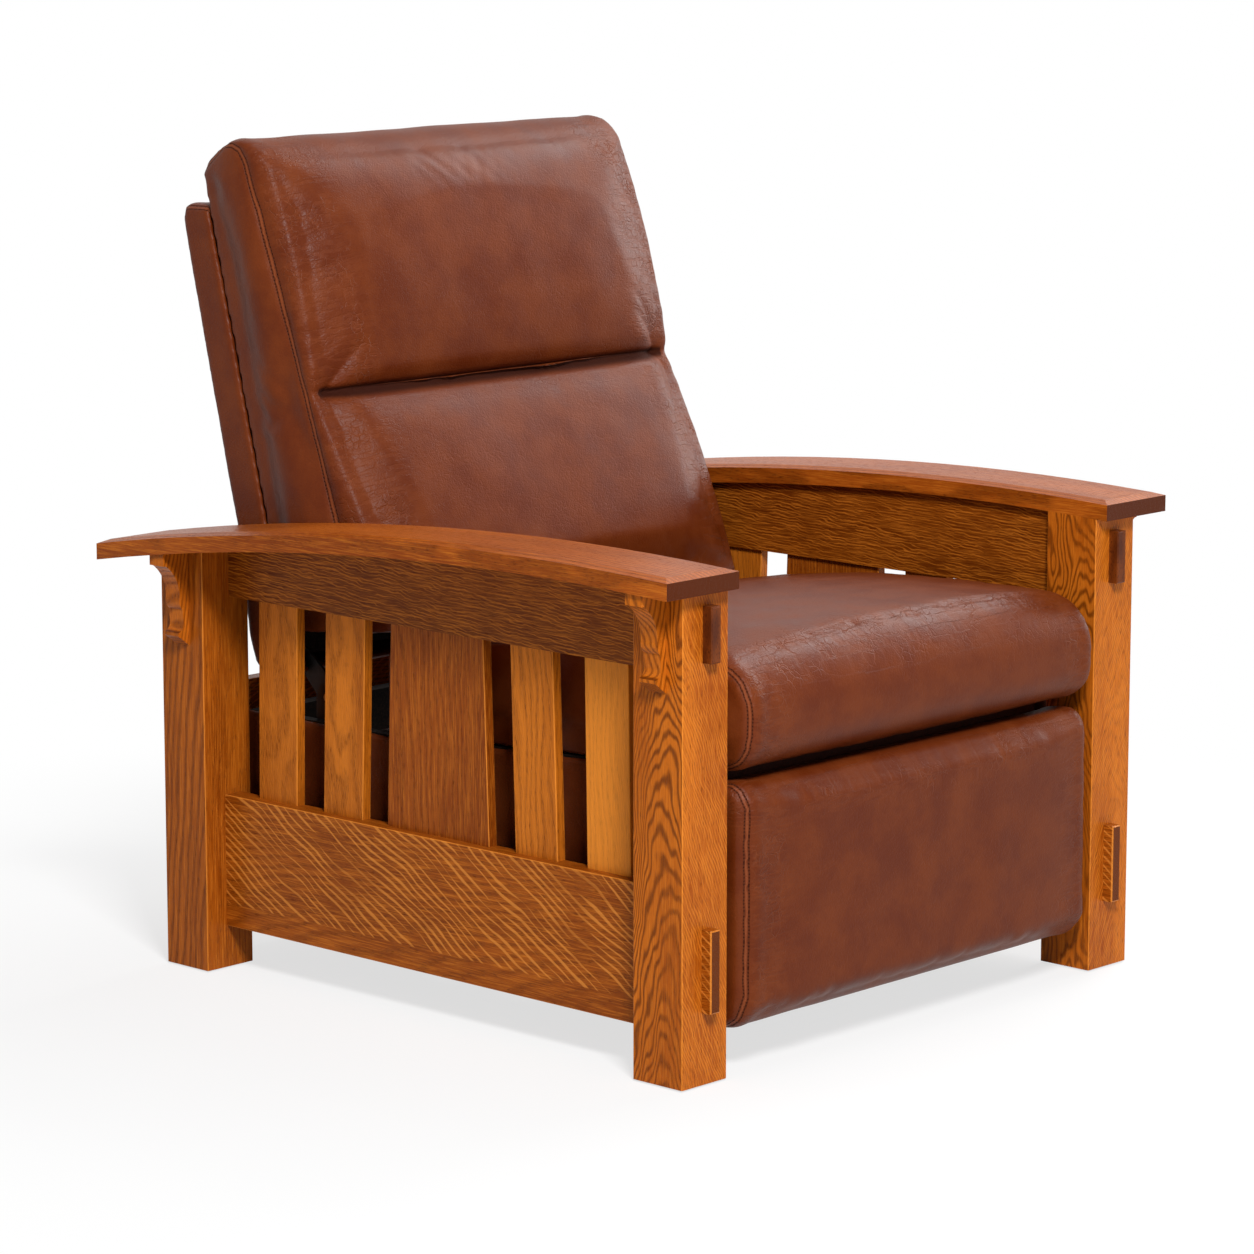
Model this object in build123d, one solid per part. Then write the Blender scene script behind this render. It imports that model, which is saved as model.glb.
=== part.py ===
from build123d import *
import os
from math import atan2, cos, degrees, hypot, radians, sin, sqrt

# Mission reclining armchair, millimetres. X runs to the sitter's left, -Y is the front, Z is up.
# The origin is on the floor, under the middle of the arms' length and of the chair's width.

# Wooden frame
leg_size = 76
outer_width = 830
outer_depth = 878
arris = 1.6
glue_gap = 0.1

arm_front_overhang = 16
arm_rear_overhang = 70
arm_side_overhang = 44
arm_front_height = 592
arm_rear_height = 533
arm_bow = 27.3
arm_edge = 20
arm_bevel_width = 13
arm_bevel_drop = 3.5

upper_rail_setback = 44
upper_rail_thickness = 22
upper_rail_below = 61
upper_tenon_thickness = 10
upper_tenon_length = 30
upper_tenon_inset = 12

lower_rail_setback = 33
lower_rail_thickness = 28
lower_rail_bottom = 55
lower_rail_top = 223
through_tenon_thickness = 16
through_tenon_bottom = 87
through_tenon_top = 184
tenon_stand_out = 14
tenon_chamfer = 1.5
blind_tenon_length = 40

show_block_below = 36
show_block_height = 65
show_block_depth = 38

slat_setback = 47
slat_thickness = 14
slat_tongue = 8
slat_tongue_length = 12
slat_shoulder = 5
narrow_slat_width = 69
middle_slat_top_width = 156
middle_slat_bottom_width = 173
inner_slat_top_pitch = 157
inner_slat_bottom_pitch = 164.5
outer_slat_top_pitch = 277
outer_slat_bottom_pitch = 281

corbel_thickness = 25.5
corbel_reach = 40
corbel_height = 117
corbel_cap = 14
corbel_lip = 3.5
corbel_scroll_shares = [
    (0.46, 0.3),
    (0.36, 0.49),
    (0.35, 0.56),
    (0.25, 0.61),
    (0.21, 0.76),
    (0.27, 0.82),
    (0.43, 0.855),
    (0.43, 0.89),
    (0, 1),
]

cross_rail_thickness = 22
cross_rail_setback = 8
rear_rail_top = 352
cross_tenon_length = 24
cross_tenon_shoulder = 12
stretcher_back = 250
stretcher_height = 72
glide_radius = 16
glide_thickness = 4
glide_stand = 2
housing_depth = 10
glide_pin_radius = 4
glide_pin_length = 22
dowel_radius = 5
dowel_length = 36
dowel_pitch = 34
screw_radius = 2.5
screw_head_radius = 5
screw_head = 2.5
track_screw_length = 20

# Seat tracks
track_bottom = 148
track_height = 40
track_wall = 3
track_depth = 23.5
track_end_gap = 22
track_screw_pitch = 200
glide_play = 0.3
glide_length = 60
front_glide_back = 199
rear_glide_back = 609

# Seat box, its depths are measured back from the front faces of the legs
seat_half_width = 322
cover_thickness = 6
side_board_thickness = 14
side_board_bottom = 207
side_board_front = 89
side_board_rear = 827
side_board_rear_top = 319
plate_thickness = 3
plate_bottom = 248
plate_top = 318
hanger_bottom = 150
hanger_width = 60
strip_half_width = 15
plate_edge = 14
seat_rail_thickness = 22
front_rail_back = 139
front_rail_bottom = 212
nose_rail_front = 73
nose_rail_bottom = 312
nose_rail_end_gap = 16
rear_rail_back = 589
rear_rail_bottom = 255
rear_board_back = 805
tie_tube_radius = 9
tie_tube_wall = 1.5
tie_tube_height = 215
bolt_shares = (0.2, 0.5, 0.8)
bolt_height = 283
deck_thickness = 6
spring_wire = 2
spring_turn = 11
spring_half_width = 24
spring_rows = 5
spring_pitch = 112
clip_length = 16
clip_width = 12
clip_wall = 2
soft_gap = 0.3

# Seat cushion
seam_half_width = 317
panel_bulge = 6
panel_inset = 14
cushion_nose = 19
cushion_nose_height = 408
cushion_corner_back = 21
cushion_front_bottom = 352
cushion_front_top = 478
cushion_rear_back = 579
cushion_rear_bottom = 321
cushion_rear_top = 431
cushion_top_bow = 19
cushion_crown = 15
cushion_rear_crown = 4
cushion_nose_crown = 5
nose_lower_bow = 14
nose_upper_bow = 15

# Footrest linkage
lift_pivot_back = 109
lift_pivot_height = 300
link_length = 220
link_half_width = 10
link_thickness = 4
link_gap = 0.5
folded_angle = 84
fold_travel = 78
pivot_radius = 4
pivot_play = 0.05
open_play = 0.25
rivet_head_radius = 7
rivet_head = 2
torque_tube_radius = 9
torque_tube_along = 62
angle_thickness = 3
angle_bottom = 100
angle_top = 172
angle_flange = 34
angle_back = 15

# Footrest
footrest_half_width = 325
footrest_bottom = 50
footrest_top = 342
footrest_rear_top = 337
footrest_front = 6
footrest_rear_back = 50
footrest_round_top = 24
footrest_round_bottom = 38
footrest_crown = 5
footrest_edge = 8
footrest_edge_crown_share = 0.4
footboard_thickness = 15
footboard_margin = 12

# Back unit. Its reaches are measured ahead of the cushion's rear plane or behind it
back_pivot_back = 701
back_pivot_height = 348
back_bolt_radius = 5
back_bolt_head = 8
back_eye_radius = 18
bracket_thickness = 4
bracket_half_width = 12
bracket_reach = 110
bush_radius = 9
running_gap = 0.3
back_half_width = 320
back_shoulder = 26
back_edge_shares = [(1, 0.94), (0.6, 0.89), (0.3, 0.78), (0.08, 0.42), (0, 0)]
rear_top_depth = 895
rear_top_height = 990
rear_foot_depth = 751
rear_foot_height = 426
back_foot_reach = 131
back_foot_rise = 12
back_foot_crown = 66
back_foot_lift = 9
waist_reach = 116
waist_share = 0.5355
waist_crown = 25
waist_roll = 25
waist_crease = 2
waist_crown_crease = 11
waist_bow_share = 0.3
head_reach = 84
head_rise = 12
head_crown = 43
head_brow = 8
crown_reach = 67
crown_rise = 41
seam_top_drop = 3
top_bow = 6
pad_bow = 6
pad_crown_bow = 4
outer_back_half_width = 324
outer_back_wall = 9
outer_back_round = 6
outer_back_top_drop = 41
outer_back_bottom_drop = 52
outer_back_heel_reach = 72
outer_back_knee_reach = 75.5
outer_back_knee_drop = 14
outer_back_bend_reach = 60.5
outer_back_bend_share = 0.227
outer_back_tail_reach = 55.5
outer_back_tail_drop = 60
stile_width = 20
stile_depth = 24
stile_drop = 34
stile_top_drop = 66
back_rail_height = 60
back_rail_depth = 20
back_rail_margin = 5
web_width = 50
web_thickness = 2.5
web_count = 4
web_pitch = 130
overrun = 40

# Places worked out from the sizes
upper_rail_bottom = arm_rear_height - upper_rail_below
arm_length = outer_depth + arm_front_overhang + arm_rear_overhang
y_front = arm_front_overhang - arm_length / 2
y_rear = y_front + outer_depth
x_out = outer_width / 2
x_in = x_out - leg_size
y_middle = (y_front + y_rear) / 2
y_gap = (y_front + leg_size, y_rear - leg_size)

os.makedirs("parts", exist_ok=True)


def place(name, solid):
    """Write one sub-part under its own name."""
    export_step(solid, "parts/" + name + ".step")


def mirrored(solid):
    """The same piece for the other side of the chair."""
    return mirror(solid, about=Plane.YZ)


def both(*solids):
    """Pieces of the left side with their mirror images."""
    return list(solids) + [mirrored(piece) for piece in solids]


def pair(name, solid):
    """Write the left piece and its mirror image on the right."""
    place(name + "_left", solid)
    place(name + "_right", mirrored(solid))


def group(name, solids):
    """Write several like pieces as one sub-part of separate solids."""
    place(name, Compound(children=list(solids)))


def block(x, y, z):
    """A box between its limits on each axis."""
    size = Box(x[1] - x[0], y[1] - y[0], z[1] - z[0])
    return Pos((x[0] + x[1]) / 2, (y[0] + y[1]) / 2, (z[0] + z[1]) / 2) * size


def wider(limits, play):
    """Limits moved apart by a play at each end."""
    return (limits[0] - play, limits[1] + play)


def side_plate(face, x):
    """A piece cut to an outline in the side view, (y, z), between two X limits."""
    return extrude(Plane.YZ.offset(x[0]) * face, amount=x[1] - x[0])


def polygon(points):
    """A straight-sided outline."""
    return make_face(Polyline(*points, close=True))


def rod(radius, x, y, z):
    """A round bar along X."""
    return Pos((x[0] + x[1]) / 2, y, z) * Rot(0, 90, 0) * Cylinder(radius, x[1] - x[0])


def eased(solid, axis):
    """Take the sharp arrises off along one axis."""
    return fillet(solid.edges().filter_by(axis), arris)


def screw(x_head, x_tip, y, z):
    """A pan-head screw along X, its head seated at x_head."""
    way = 1 if x_tip > x_head else -1
    head = rod(screw_head_radius, sorted((x_head, x_head - way * screw_head)), y, z)
    return head + rod(screw_radius, sorted((x_head, x_tip)), y, z)


# The bow of the arms: one circle through both ends, and others around the same centre
chord = hypot(arm_length, arm_front_height - arm_rear_height)
bow_radius = chord**2 / (8 * arm_bow) + arm_bow / 2
fall = atan2(arm_front_height - arm_rear_height, arm_length)
bow_y = -(bow_radius - arm_bow) * sin(fall)
bow_z = (arm_front_height + arm_rear_height) / 2 - (bow_radius - arm_bow) * cos(fall)


def bow(y, down=0):
    """Height of the arms' bow at y, or of the circle that far below it."""
    return bow_z + sqrt((bow_radius - down) ** 2 - (y - bow_y) ** 2)


def bow_strip(y, down_top, down_bottom, x):
    """The piece between two bowed lines."""
    across = (y[0], (y[0] + y[1]) / 2, y[1])
    top = [(at, bow(at, down_top)) for at in across]
    low = [(at, bow(at, down_bottom)) for at in reversed(across)]
    ends = [Line(top[2], low[0]), Line(low[2], top[0])]
    return side_plate(make_face([ThreePointArc(*top), ends[0], ThreePointArc(*low), ends[1]]), x)


arm_y = (-arm_length / 2, arm_length / 2)
above_arms = bow_strip(wider(arm_y, overrun), -2 * leg_size, arm_edge, (-outer_width, outer_width))


def arm_board():
    """The bowed arm, flush with the legs inside and bevelled all round on top."""
    board = bow_strip(arm_y, -arm_bevel_drop, arm_edge, (x_in, x_out + arm_side_overhang))
    top = max(board.faces(), key=lambda face: face.normal_at().Z)
    return chamfer(top.edges(), arm_bevel_width, arm_bevel_drop, reference=top)


# Tenons and mortises of the side frame
rail_x = (x_out - lower_rail_setback - lower_rail_thickness, x_out - lower_rail_setback)
upper_x = (x_out - upper_rail_setback - upper_rail_thickness, x_out - upper_rail_setback)
tenon_x = (rail_x[1] - through_tenon_thickness, rail_x[1])
tenon_z = (through_tenon_bottom, through_tenon_top)
show_top = arm_front_height - show_block_below
show_z = (show_top - show_block_height, show_top)
show_y = (y_front - tenon_stand_out, y_front + show_block_depth)
stub_middle = (upper_x[0] + upper_x[1]) / 2
stub_x = (stub_middle - upper_tenon_thickness / 2, stub_middle + upper_tenon_thickness / 2)
stub_y = (y_gap[0] - upper_tenon_length, y_gap[1] + upper_tenon_length)
stub_z = (upper_rail_bottom + upper_tenon_inset, bow(y_rear, arm_edge) - upper_tenon_inset)
rear_rail_y = (y_rear - cross_rail_setback - cross_rail_thickness, y_rear - cross_rail_setback)
rear_tenon_y = wider(rear_rail_y, -cross_rail_thickness / 4)
rear_tenon_x = (-x_in - cross_tenon_length, x_in + cross_tenon_length)
rear_tenon_z = (lower_rail_bottom + cross_tenon_shoulder, rear_rail_top - cross_tenon_shoulder)
tenon_y = (y_front - tenon_stand_out, y_gap[1] + blind_tenon_length)
stretcher_y = (y_front + stretcher_back, y_front + stretcher_back + cross_rail_thickness)
stretcher_z = (lower_rail_bottom, lower_rail_bottom + stretcher_height)
leg_faces = (y_front, y_gap[1])
glide_hole = Cylinder(glide_pin_radius, glide_pin_length)


def dowel_places(y_leg):
    """Middle of each of the two dowels on top of a leg, the inner one away from the rail's tenon."""
    middle = Vector(x_out - leg_size / 2, y_leg + leg_size / 2)
    away = -dowel_pitch / 4 if y_leg < y_middle else dowel_pitch / 4
    step = Vector(dowel_pitch / 2, -away)
    spots = [middle - step, middle + step]
    return [(spot.X, spot.Y, bow(spot.Y, arm_edge)) for spot in spots]


def dowel(spot):
    """A short dowel, half in the leg and half in the arm."""
    low, high = -dowel_length / 2 - arm_edge / 4, arm_edge / 2
    return Pos(spot[0], spot[1], spot[2] + (low + high) / 2) * Cylinder(dowel_radius, high - low)


dowels = [dowel(spot) for y_leg in leg_faces for spot in dowel_places(y_leg)]


def glide(y_leg):
    """A nail-in glide under a leg."""
    spot = (x_out - leg_size / 2, y_leg + leg_size / 2)
    disc = Pos(spot[0], spot[1], glide_thickness / 2) * Cylinder(glide_radius, glide_thickness)
    return disc + Pos(spot[0], spot[1], glide_thickness + glide_pin_length / 2) * glide_hole


glides = [glide(y_leg) for y_leg in leg_faces]


def leg(y_leg):
    """A square leg with its mortises, cut on top to the bow of the arm."""
    post = eased(block((x_in, x_out), (y_leg, y_leg + leg_size), (glide_stand, arm_front_height)), Axis.Z)
    post -= above_arms
    post -= block(wider(tenon_x, glue_gap), wider(tenon_y, glue_gap), wider(tenon_z, glue_gap))
    post -= block(wider(stub_x, glue_gap), wider(stub_y, glue_gap), wider(stub_z, glue_gap))
    post -= block(wider(tenon_x, glue_gap), wider(show_y, glue_gap), wider(show_z, glue_gap))
    post -= block(rear_tenon_x, wider(rear_tenon_y, glue_gap), wider(rear_tenon_z, glue_gap))
    for piece in dowels + glides:
        post -= piece
    return post


def tenon_end(x, y, z):
    """A tenon whose front end is eased where it stands out of the leg."""
    bar = block(x, y, z)
    return chamfer(bar.faces().sort_by(Axis.Y)[0].edges(), tenon_chamfer)


# Slats: how far the middle line and the half width stand at the top and at the bottom
slat_x = (x_out - slat_setback - slat_thickness, x_out - slat_setback)
tongue_x = wider(slat_x, -(slat_thickness - slat_tongue) / 2)
slat_table = [
    (0, 0, middle_slat_top_width / 2, middle_slat_bottom_width / 2),
    (-inner_slat_top_pitch, -inner_slat_bottom_pitch, narrow_slat_width / 2, narrow_slat_width / 2),
    (inner_slat_top_pitch, inner_slat_bottom_pitch, narrow_slat_width / 2, narrow_slat_width / 2),
    (-outer_slat_top_pitch, -outer_slat_bottom_pitch, narrow_slat_width / 2, narrow_slat_width / 2),
    (outer_slat_top_pitch, outer_slat_bottom_pitch, narrow_slat_width / 2, narrow_slat_width / 2),
]


def slat_outline(row, shoulder, reach):
    """A slat's outline, drawn in by a shoulder and lengthened past both rails."""
    run = upper_rail_bottom - lower_rail_top
    points = []
    for side, end in ((-1, 0), (1, 0), (1, 1), (-1, 1)):
        grow = end + (2 * end - 1) * reach / run
        middle = row[1] + (row[0] - row[1]) * grow
        half = row[3] + (row[2] - row[3]) * grow - shoulder
        points.append((y_middle + middle + side * half, lower_rail_top + run * grow))
    return polygon(points)


def slat(row):
    """A slat with a tongue on both ends."""
    board = side_plate(slat_outline(row, 0, 0), slat_x)
    run = upper_rail_bottom - lower_rail_top
    long_edges = [edge for edge in board.edges() if edge.length > run - arris]
    upright = [edge for edge in long_edges if abs(edge.tangent_at(0).Z) > abs(edge.tangent_at(0).Y)]
    board = fillet(upright, arris)
    return board + side_plate(slat_outline(row, slat_shoulder, slat_tongue_length), tongue_x)


def slat_mortises():
    """What the tongues of one side take out of the rails."""
    reach = slat_tongue_length + glue_gap
    faces = [slat_outline(row, slat_shoulder - glue_gap, reach) for row in slat_table]
    return [side_plate(face, wider(tongue_x, glue_gap)) for face in faces]


mortises = slat_mortises()


def track_screw(side):
    """A screw that holds a track to the rail."""
    seat = rail_x[0] - track_wall
    spot = (y_middle + side * track_screw_pitch, track_bottom + track_height / 2)
    return screw(seat, seat + track_screw_length, *spot)


track_screws = [track_screw(side) for side in (-1, 0, 1)]


def lower_rail():
    """The deep rail below the slats, with a tenon through the front leg."""
    rail = eased(block(rail_x, y_gap, (lower_rail_bottom, lower_rail_top)), Axis.Y)
    rail += tenon_end(tenon_x, tenon_y, tenon_z)
    housing = (rail_x[0], rail_x[0] + housing_depth)
    rail -= block(housing, stretcher_y, stretcher_z)
    for cut in mortises + track_screws:
        rail -= cut
    return rail


def upper_rail():
    """The rail under the arm, straight below and bowed above."""
    rail = block(upper_x, y_gap, (upper_rail_bottom, arm_front_height))
    rail += block(stub_x, stub_y, stub_z)
    rail -= above_arms
    for cut in mortises:
        rail -= cut
    return rail


def corbel(y_leg):
    """A scrolled bracket under the arm, on the outer face of a leg."""
    z_top = bow(y_leg + leg_size / 2, arm_edge)
    spots = [(x_out + corbel_reach * out, z_top - corbel_height * down) for out, down in corbel_scroll_shares]
    neck = (x_out + corbel_reach - corbel_lip, z_top - corbel_cap)
    cap = (x_out + corbel_reach, z_top - corbel_cap)
    top = [(x_out + corbel_reach, z_top + arm_edge), (x_out, z_top + arm_edge)]
    lines = [
        Line(cap, neck),
        ThreePointArc(neck, spots[0], spots[1]),
        ThreePointArc(spots[1], spots[2], spots[3]),
        Line(spots[3], spots[4]),
        ThreePointArc(spots[4], spots[5], spots[6]),
        Line(spots[6], spots[7]),
        Line(spots[7], spots[8]),
        Line(spots[8], top[1]),
        Line(top[1], top[0]),
        Line(top[0], cap),
    ]
    front = Plane.XZ.offset(-y_leg - leg_size / 2 - corbel_thickness / 2)
    return extrude(front * make_face(lines), amount=corbel_thickness) - above_arms


def rear_rail():
    """The deep rail between the rear legs, which closes the chair behind the seat."""
    rail = eased(block((-x_in, x_in), rear_rail_y, (lower_rail_bottom, rear_rail_top)), Axis.X)
    return rail + block(wider(rear_tenon_x, -glue_gap), rear_tenon_y, rear_tenon_z)


def stretcher():
    """The low rail that ties the two side frames together."""
    end = rail_x[0] + housing_depth
    return eased(block((-end, end), stretcher_y, stretcher_z), Axis.X)


for where, y_leg in (("front", leg_faces[0]), ("rear", leg_faces[1])):
    pair(where + "_leg", leg(y_leg))
    group(where + "_corbels", both(corbel(y_leg)))
arm = arm_board()
for peg in dowels:
    arm -= peg
pair("arm", arm)
pair("upper_rail", upper_rail())
pair("lower_rail", lower_rail())
pair("upper_tenon", tenon_end(tenon_x, show_y, show_z))
pair("middle_slat", slat(slat_table[0]))
narrow_slats = [slat(row) for row in slat_table[1:]]
group("narrow_slats_left", narrow_slats)
group("narrow_slats_right", [mirrored(piece) for piece in narrow_slats])
place("rear_rail", rear_rail())
place("stretcher", stretcher())
group("leg_glides", both(*glides))
group("arm_dowels", both(*dowels))


def back_from(depth):
    """The y that lies this far behind the front faces of the legs."""
    return y_front + depth


def under_cushion(depth):
    """Height of the seat cushion's underside at a depth."""
    run = cushion_rear_back - cushion_corner_back
    slope = (cushion_rear_bottom - cushion_front_bottom) / run
    return cushion_front_bottom + slope * (depth - cushion_corner_back)


def deck_strip(depths, drops):
    """An outline whose top and bottom follow the underside of the cushion."""
    points = [(back_from(depth), under_cushion(depth) - drops[0]) for depth in depths]
    points += [(back_from(depth), under_cushion(depth) - drops[1]) for depth in reversed(depths)]
    return polygon(points)


# Widths of the seat unit, from its covers inwards
cover_x = (seat_half_width - cover_thickness, seat_half_width)
board_x = (cover_x[0] - side_board_thickness, cover_x[0])
plate_x = (board_x[0] - plate_thickness, board_x[0])
outer_link_x = (plate_x[0] - link_gap - link_thickness, plate_x[0] - link_gap)
inner_link_x = (outer_link_x[0] - link_gap - link_thickness, outer_link_x[0] - link_gap)
between_plates = (-plate_x[0], plate_x[0])

# The lift linkage at rest, as points in the side view
fold = radians(folded_angle)
reach = link_length * cos(fold)
drop = link_length * sin(fold)
lift_pivot = (back_from(lift_pivot_back), lift_pivot_height)
slide_pin = (lift_pivot[0], lift_pivot[1] - drop)
upper_knee = (lift_pivot[0] - reach, lift_pivot[1])
lower_knee = (lift_pivot[0] - reach, lift_pivot[1] - drop)
rear_cross = (lift_pivot[0] - reach / 2, lift_pivot[1] - drop / 2)
front_cross = (upper_knee[0] - reach / 2, upper_knee[1] - drop / 2)
toe = (upper_knee[0] - reach, upper_knee[1] - drop)
slide_top = lift_pivot[1] - link_length * sin(fold - radians(fold_travel))


def track():
    """A steel channel, screwed to the inside of the lower side rail."""
    limits_y = wider(y_gap, -track_end_gap)
    limits_z = (track_bottom, track_bottom + track_height)
    channel = block((rail_x[0] - track_depth, rail_x[0]), limits_y, limits_z)
    hollow = (rail_x[0] - track_depth - overrun, rail_x[0] - track_wall)
    return channel - block(hollow, wider(limits_y, overrun), wider(limits_z, -track_wall))


def glide_block(depth):
    """A nylon block that runs in the track."""
    x = (plate_x[1], rail_x[0] - track_wall - glide_play - screw_head)
    y = (back_from(depth) - glide_length / 2, back_from(depth) + glide_length / 2)
    z = wider((track_bottom, track_bottom + track_height), -track_wall - glide_play)
    return chamfer(block(x, y, z).edges().filter_by(Axis.X), tenon_chamfer)


def side_outline(inset):
    """The side of the seat box in the side view."""
    top = [side_board_front + inset, cushion_rear_back, side_board_rear - inset]
    heights = [under_cushion(top[0]), under_cushion(top[1]), side_board_rear_top]
    points = [(back_from(depth), z - soft_gap - inset) for depth, z in zip(top, heights)]
    low = side_board_bottom + inset
    return polygon([(back_from(top[0]), low)] + points + [(back_from(top[2]), low)])


def plate():
    """The steel plate inside the seat side, which holds the linkage and the back."""
    front = back_from(lift_pivot_back)
    eye = (back_from(back_pivot_back), back_pivot_height)
    strip_z = (slide_pin[1] - plate_edge, plate_top)
    steel = block(plate_x, (front - strip_half_width, front + strip_half_width), strip_z)
    steel += block(plate_x, (front, eye[0]), (plate_bottom, plate_top))
    for depth in (front_glide_back, rear_glide_back):
        y = (back_from(depth) - hanger_width / 2, back_from(depth) + hanger_width / 2)
        steel += block(plate_x, y, (hanger_bottom, plate_top))
    steel += block(plate_x, (eye[0] - back_eye_radius, eye[0] + back_eye_radius), (plate_bottom, eye[1]))
    steel += rod(back_eye_radius, plate_x, *eye)
    half = pivot_radius + open_play
    steel -= block(wider(plate_x, plate_thickness), (front - half, front + half), (slide_pin[1], slide_top))
    for spot in (slide_pin, (front, slide_top)):
        steel -= rod(half, wider(plate_x, plate_thickness), *spot)
    steel -= rod(pivot_radius, wider(plate_x, plate_thickness), *lift_pivot)
    steel -= rod(back_bolt_radius, wider(plate_x, plate_thickness), *eye)
    return steel


bolt_tip = plate_x[1] + side_board_thickness - plate_thickness
bolt_run = rear_rail_back - front_rail_back - seat_rail_thickness
bolt_depths = [rear_rail_back - bolt_run * share for share in bolt_shares]
plate_bolts = [screw(plate_x[0], bolt_tip, back_from(depth), bolt_height) for depth in bolt_depths]


def seat_rail(depth, bottom):
    """A cross rail of the seat box that carries the springs."""
    top = [(back_from(at), under_cushion(at) - spring_seat) for at in (depth, depth + seat_rail_thickness)]
    return side_plate(polygon([(top[0][0], bottom)] + top + [(top[1][0], bottom)]), between_plates)


# The springs hang between the seat rails, below the deck pad
front_anchor = front_rail_back + seat_rail_thickness / 2
rear_anchor = rear_rail_back + seat_rail_thickness / 2
spring_fall = atan2(under_cushion(front_anchor) - under_cushion(rear_anchor), rear_anchor - front_anchor)
spring_run = (rear_anchor - front_anchor) / cos(spring_fall)
spring_drop = soft_gap + deck_thickness + running_gap + (clip_wall + spring_wire) / cos(spring_fall)
spring_seat = spring_drop + (spring_wire + pivot_play) / cos(spring_fall)


def spring_plane(x):
    """The tilted plane of one spring, with its origin at the front anchor."""
    origin = (x, back_from(front_anchor), under_cushion(front_anchor) - spring_drop)
    along = (0, cos(spring_fall), -sin(spring_fall))
    return Plane(origin=origin, x_dir=along, z_dir=(0, sin(spring_fall), cos(spring_fall)))


def spring(x):
    """A zigzag spring: half turns joined by straight legs across the seat."""
    turns = int((spring_run - 2 * spring_turn - clip_length) / (4 * spring_turn)) * 2
    side = spring_half_width - spring_turn
    at = spring_run / 2 - spring_turn * turns
    lines = [Line((0, 0), (at - spring_turn, 0))]
    lines.append(JernArc((at - spring_turn, 0), (1, 0), spring_turn, 90))
    lines.append(Line((at, spring_turn), (at, side)))
    for count in range(turns):
        way = 1 - 2 * (count % 2)
        lines.append(JernArc((at, way * side), (0, way), spring_turn, -way * 180))
        at += 2 * spring_turn
        stop = -spring_turn if count == turns - 1 else -way * side
        lines.append(Line((at, way * side), (at, stop)))
    lines.append(JernArc((at, -spring_turn), (0, 1), spring_turn, -90))
    lines.append(Line((at + spring_turn, 0), (spring_run, 0)))
    start = Plane(origin=(0, 0, 0), x_dir=(0, 1, 0), z_dir=(1, 0, 0))
    return spring_plane(x) * sweep(start * Circle(spring_wire), path=Wire(lines))


def clip(x, end):
    """A plate over the end of a spring, on its rail."""
    plane = spring_plane(x) * Pos(end * spring_run, 0, 0)
    high = spring_wire + clip_wall
    body = Pos(0, 0, (high - spring_wire) / 2) * Box(clip_length, clip_width, high + spring_wire)
    groove = Pos(0, 0, -spring_wire / 2) * Box(clip_length + overrun, 2 * spring_wire, spring_wire)
    return plane * (body - Rot(0, 90, 0) * Cylinder(spring_wire, clip_length + overrun) - groove)


def seat_cushion_outline(crown, inset):
    """The cushion's side view: rolled nose, bowed top and flat underside."""
    nose_y = back_from(-cushion_nose - cushion_nose_crown * crown + inset)
    corner_y = back_from(cushion_corner_back)
    rear_y = back_from(cushion_rear_back - inset)
    low = cushion_front_bottom + inset
    top = cushion_front_top + cushion_crown * crown - inset
    rear_low = cushion_rear_bottom + inset
    rear_top = cushion_rear_top + cushion_rear_crown * crown - inset
    nose_z = cushion_nose_height
    lower_out = nose_lower_bow / sqrt(2)
    upper_out = nose_upper_bow / sqrt(2)
    lower = ((corner_y + nose_y) / 2 - lower_out, (low + nose_z) / 2 - lower_out)
    upper = ((corner_y + nose_y) / 2 - upper_out, (top + nose_z) / 2 + upper_out)
    middle = ((corner_y + rear_y) / 2, (top + rear_top) / 2 + cushion_top_bow)
    return make_face(
        [
            ThreePointArc((corner_y, low), lower, (nose_y, nose_z)),
            ThreePointArc((nose_y, nose_z), upper, (corner_y, top)),
            ThreePointArc((corner_y, top), middle, (rear_y, rear_top)),
            Line((rear_y, rear_top), (rear_y, rear_low)),
            Line((rear_y, rear_low), (corner_y, low)),
        ]
    )


def pad(outline, stations):
    """A crowned pad: a smooth middle, and ends that draw in station by station."""
    x, crown, inset = stations[0]
    ends = [Plane.YZ.offset(way * x) * outline(crown, inset) for way in (-1, 1)]
    body = loft([ends[0], Plane.YZ * outline(1, 0), ends[1]])
    for way in (-1, 1):
        rims = [Plane.YZ.offset(way * at) * outline(share, draw) for at, share, draw in stations]
        body += loft(rims, ruled=True)
    return body


def link(start, end, x):
    """A flat steel link with round ends between two points of the side view."""
    length = hypot(end[0] - start[0], end[1] - start[1])
    turn = degrees(atan2(end[1] - start[1], end[0] - start[0]))
    middle = ((start[0] + end[0]) / 2, (start[1] + end[1]) / 2)
    face = Pos(*middle) * Rot(0, 0, turn) * SlotCenterToCenter(length, 2 * link_half_width)
    return side_plate(face, x)


def bored(piece, bores):
    """A piece with round holes along X, given as (radius, spot)."""
    for radius, spot in bores:
        piece -= rod(radius, (inner_link_x[0] - overrun, board_x[1]), *spot)
    return piece


def rivet(spot, head_gap, tip):
    """A pin through both link layers, with its head on the inside."""
    seat = inner_link_x[0] - head_gap
    head = rod(rivet_head_radius, (seat - rivet_head, seat), *spot)
    return head + rod(pivot_radius, (seat - rivet_head, tip), *spot)


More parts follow.
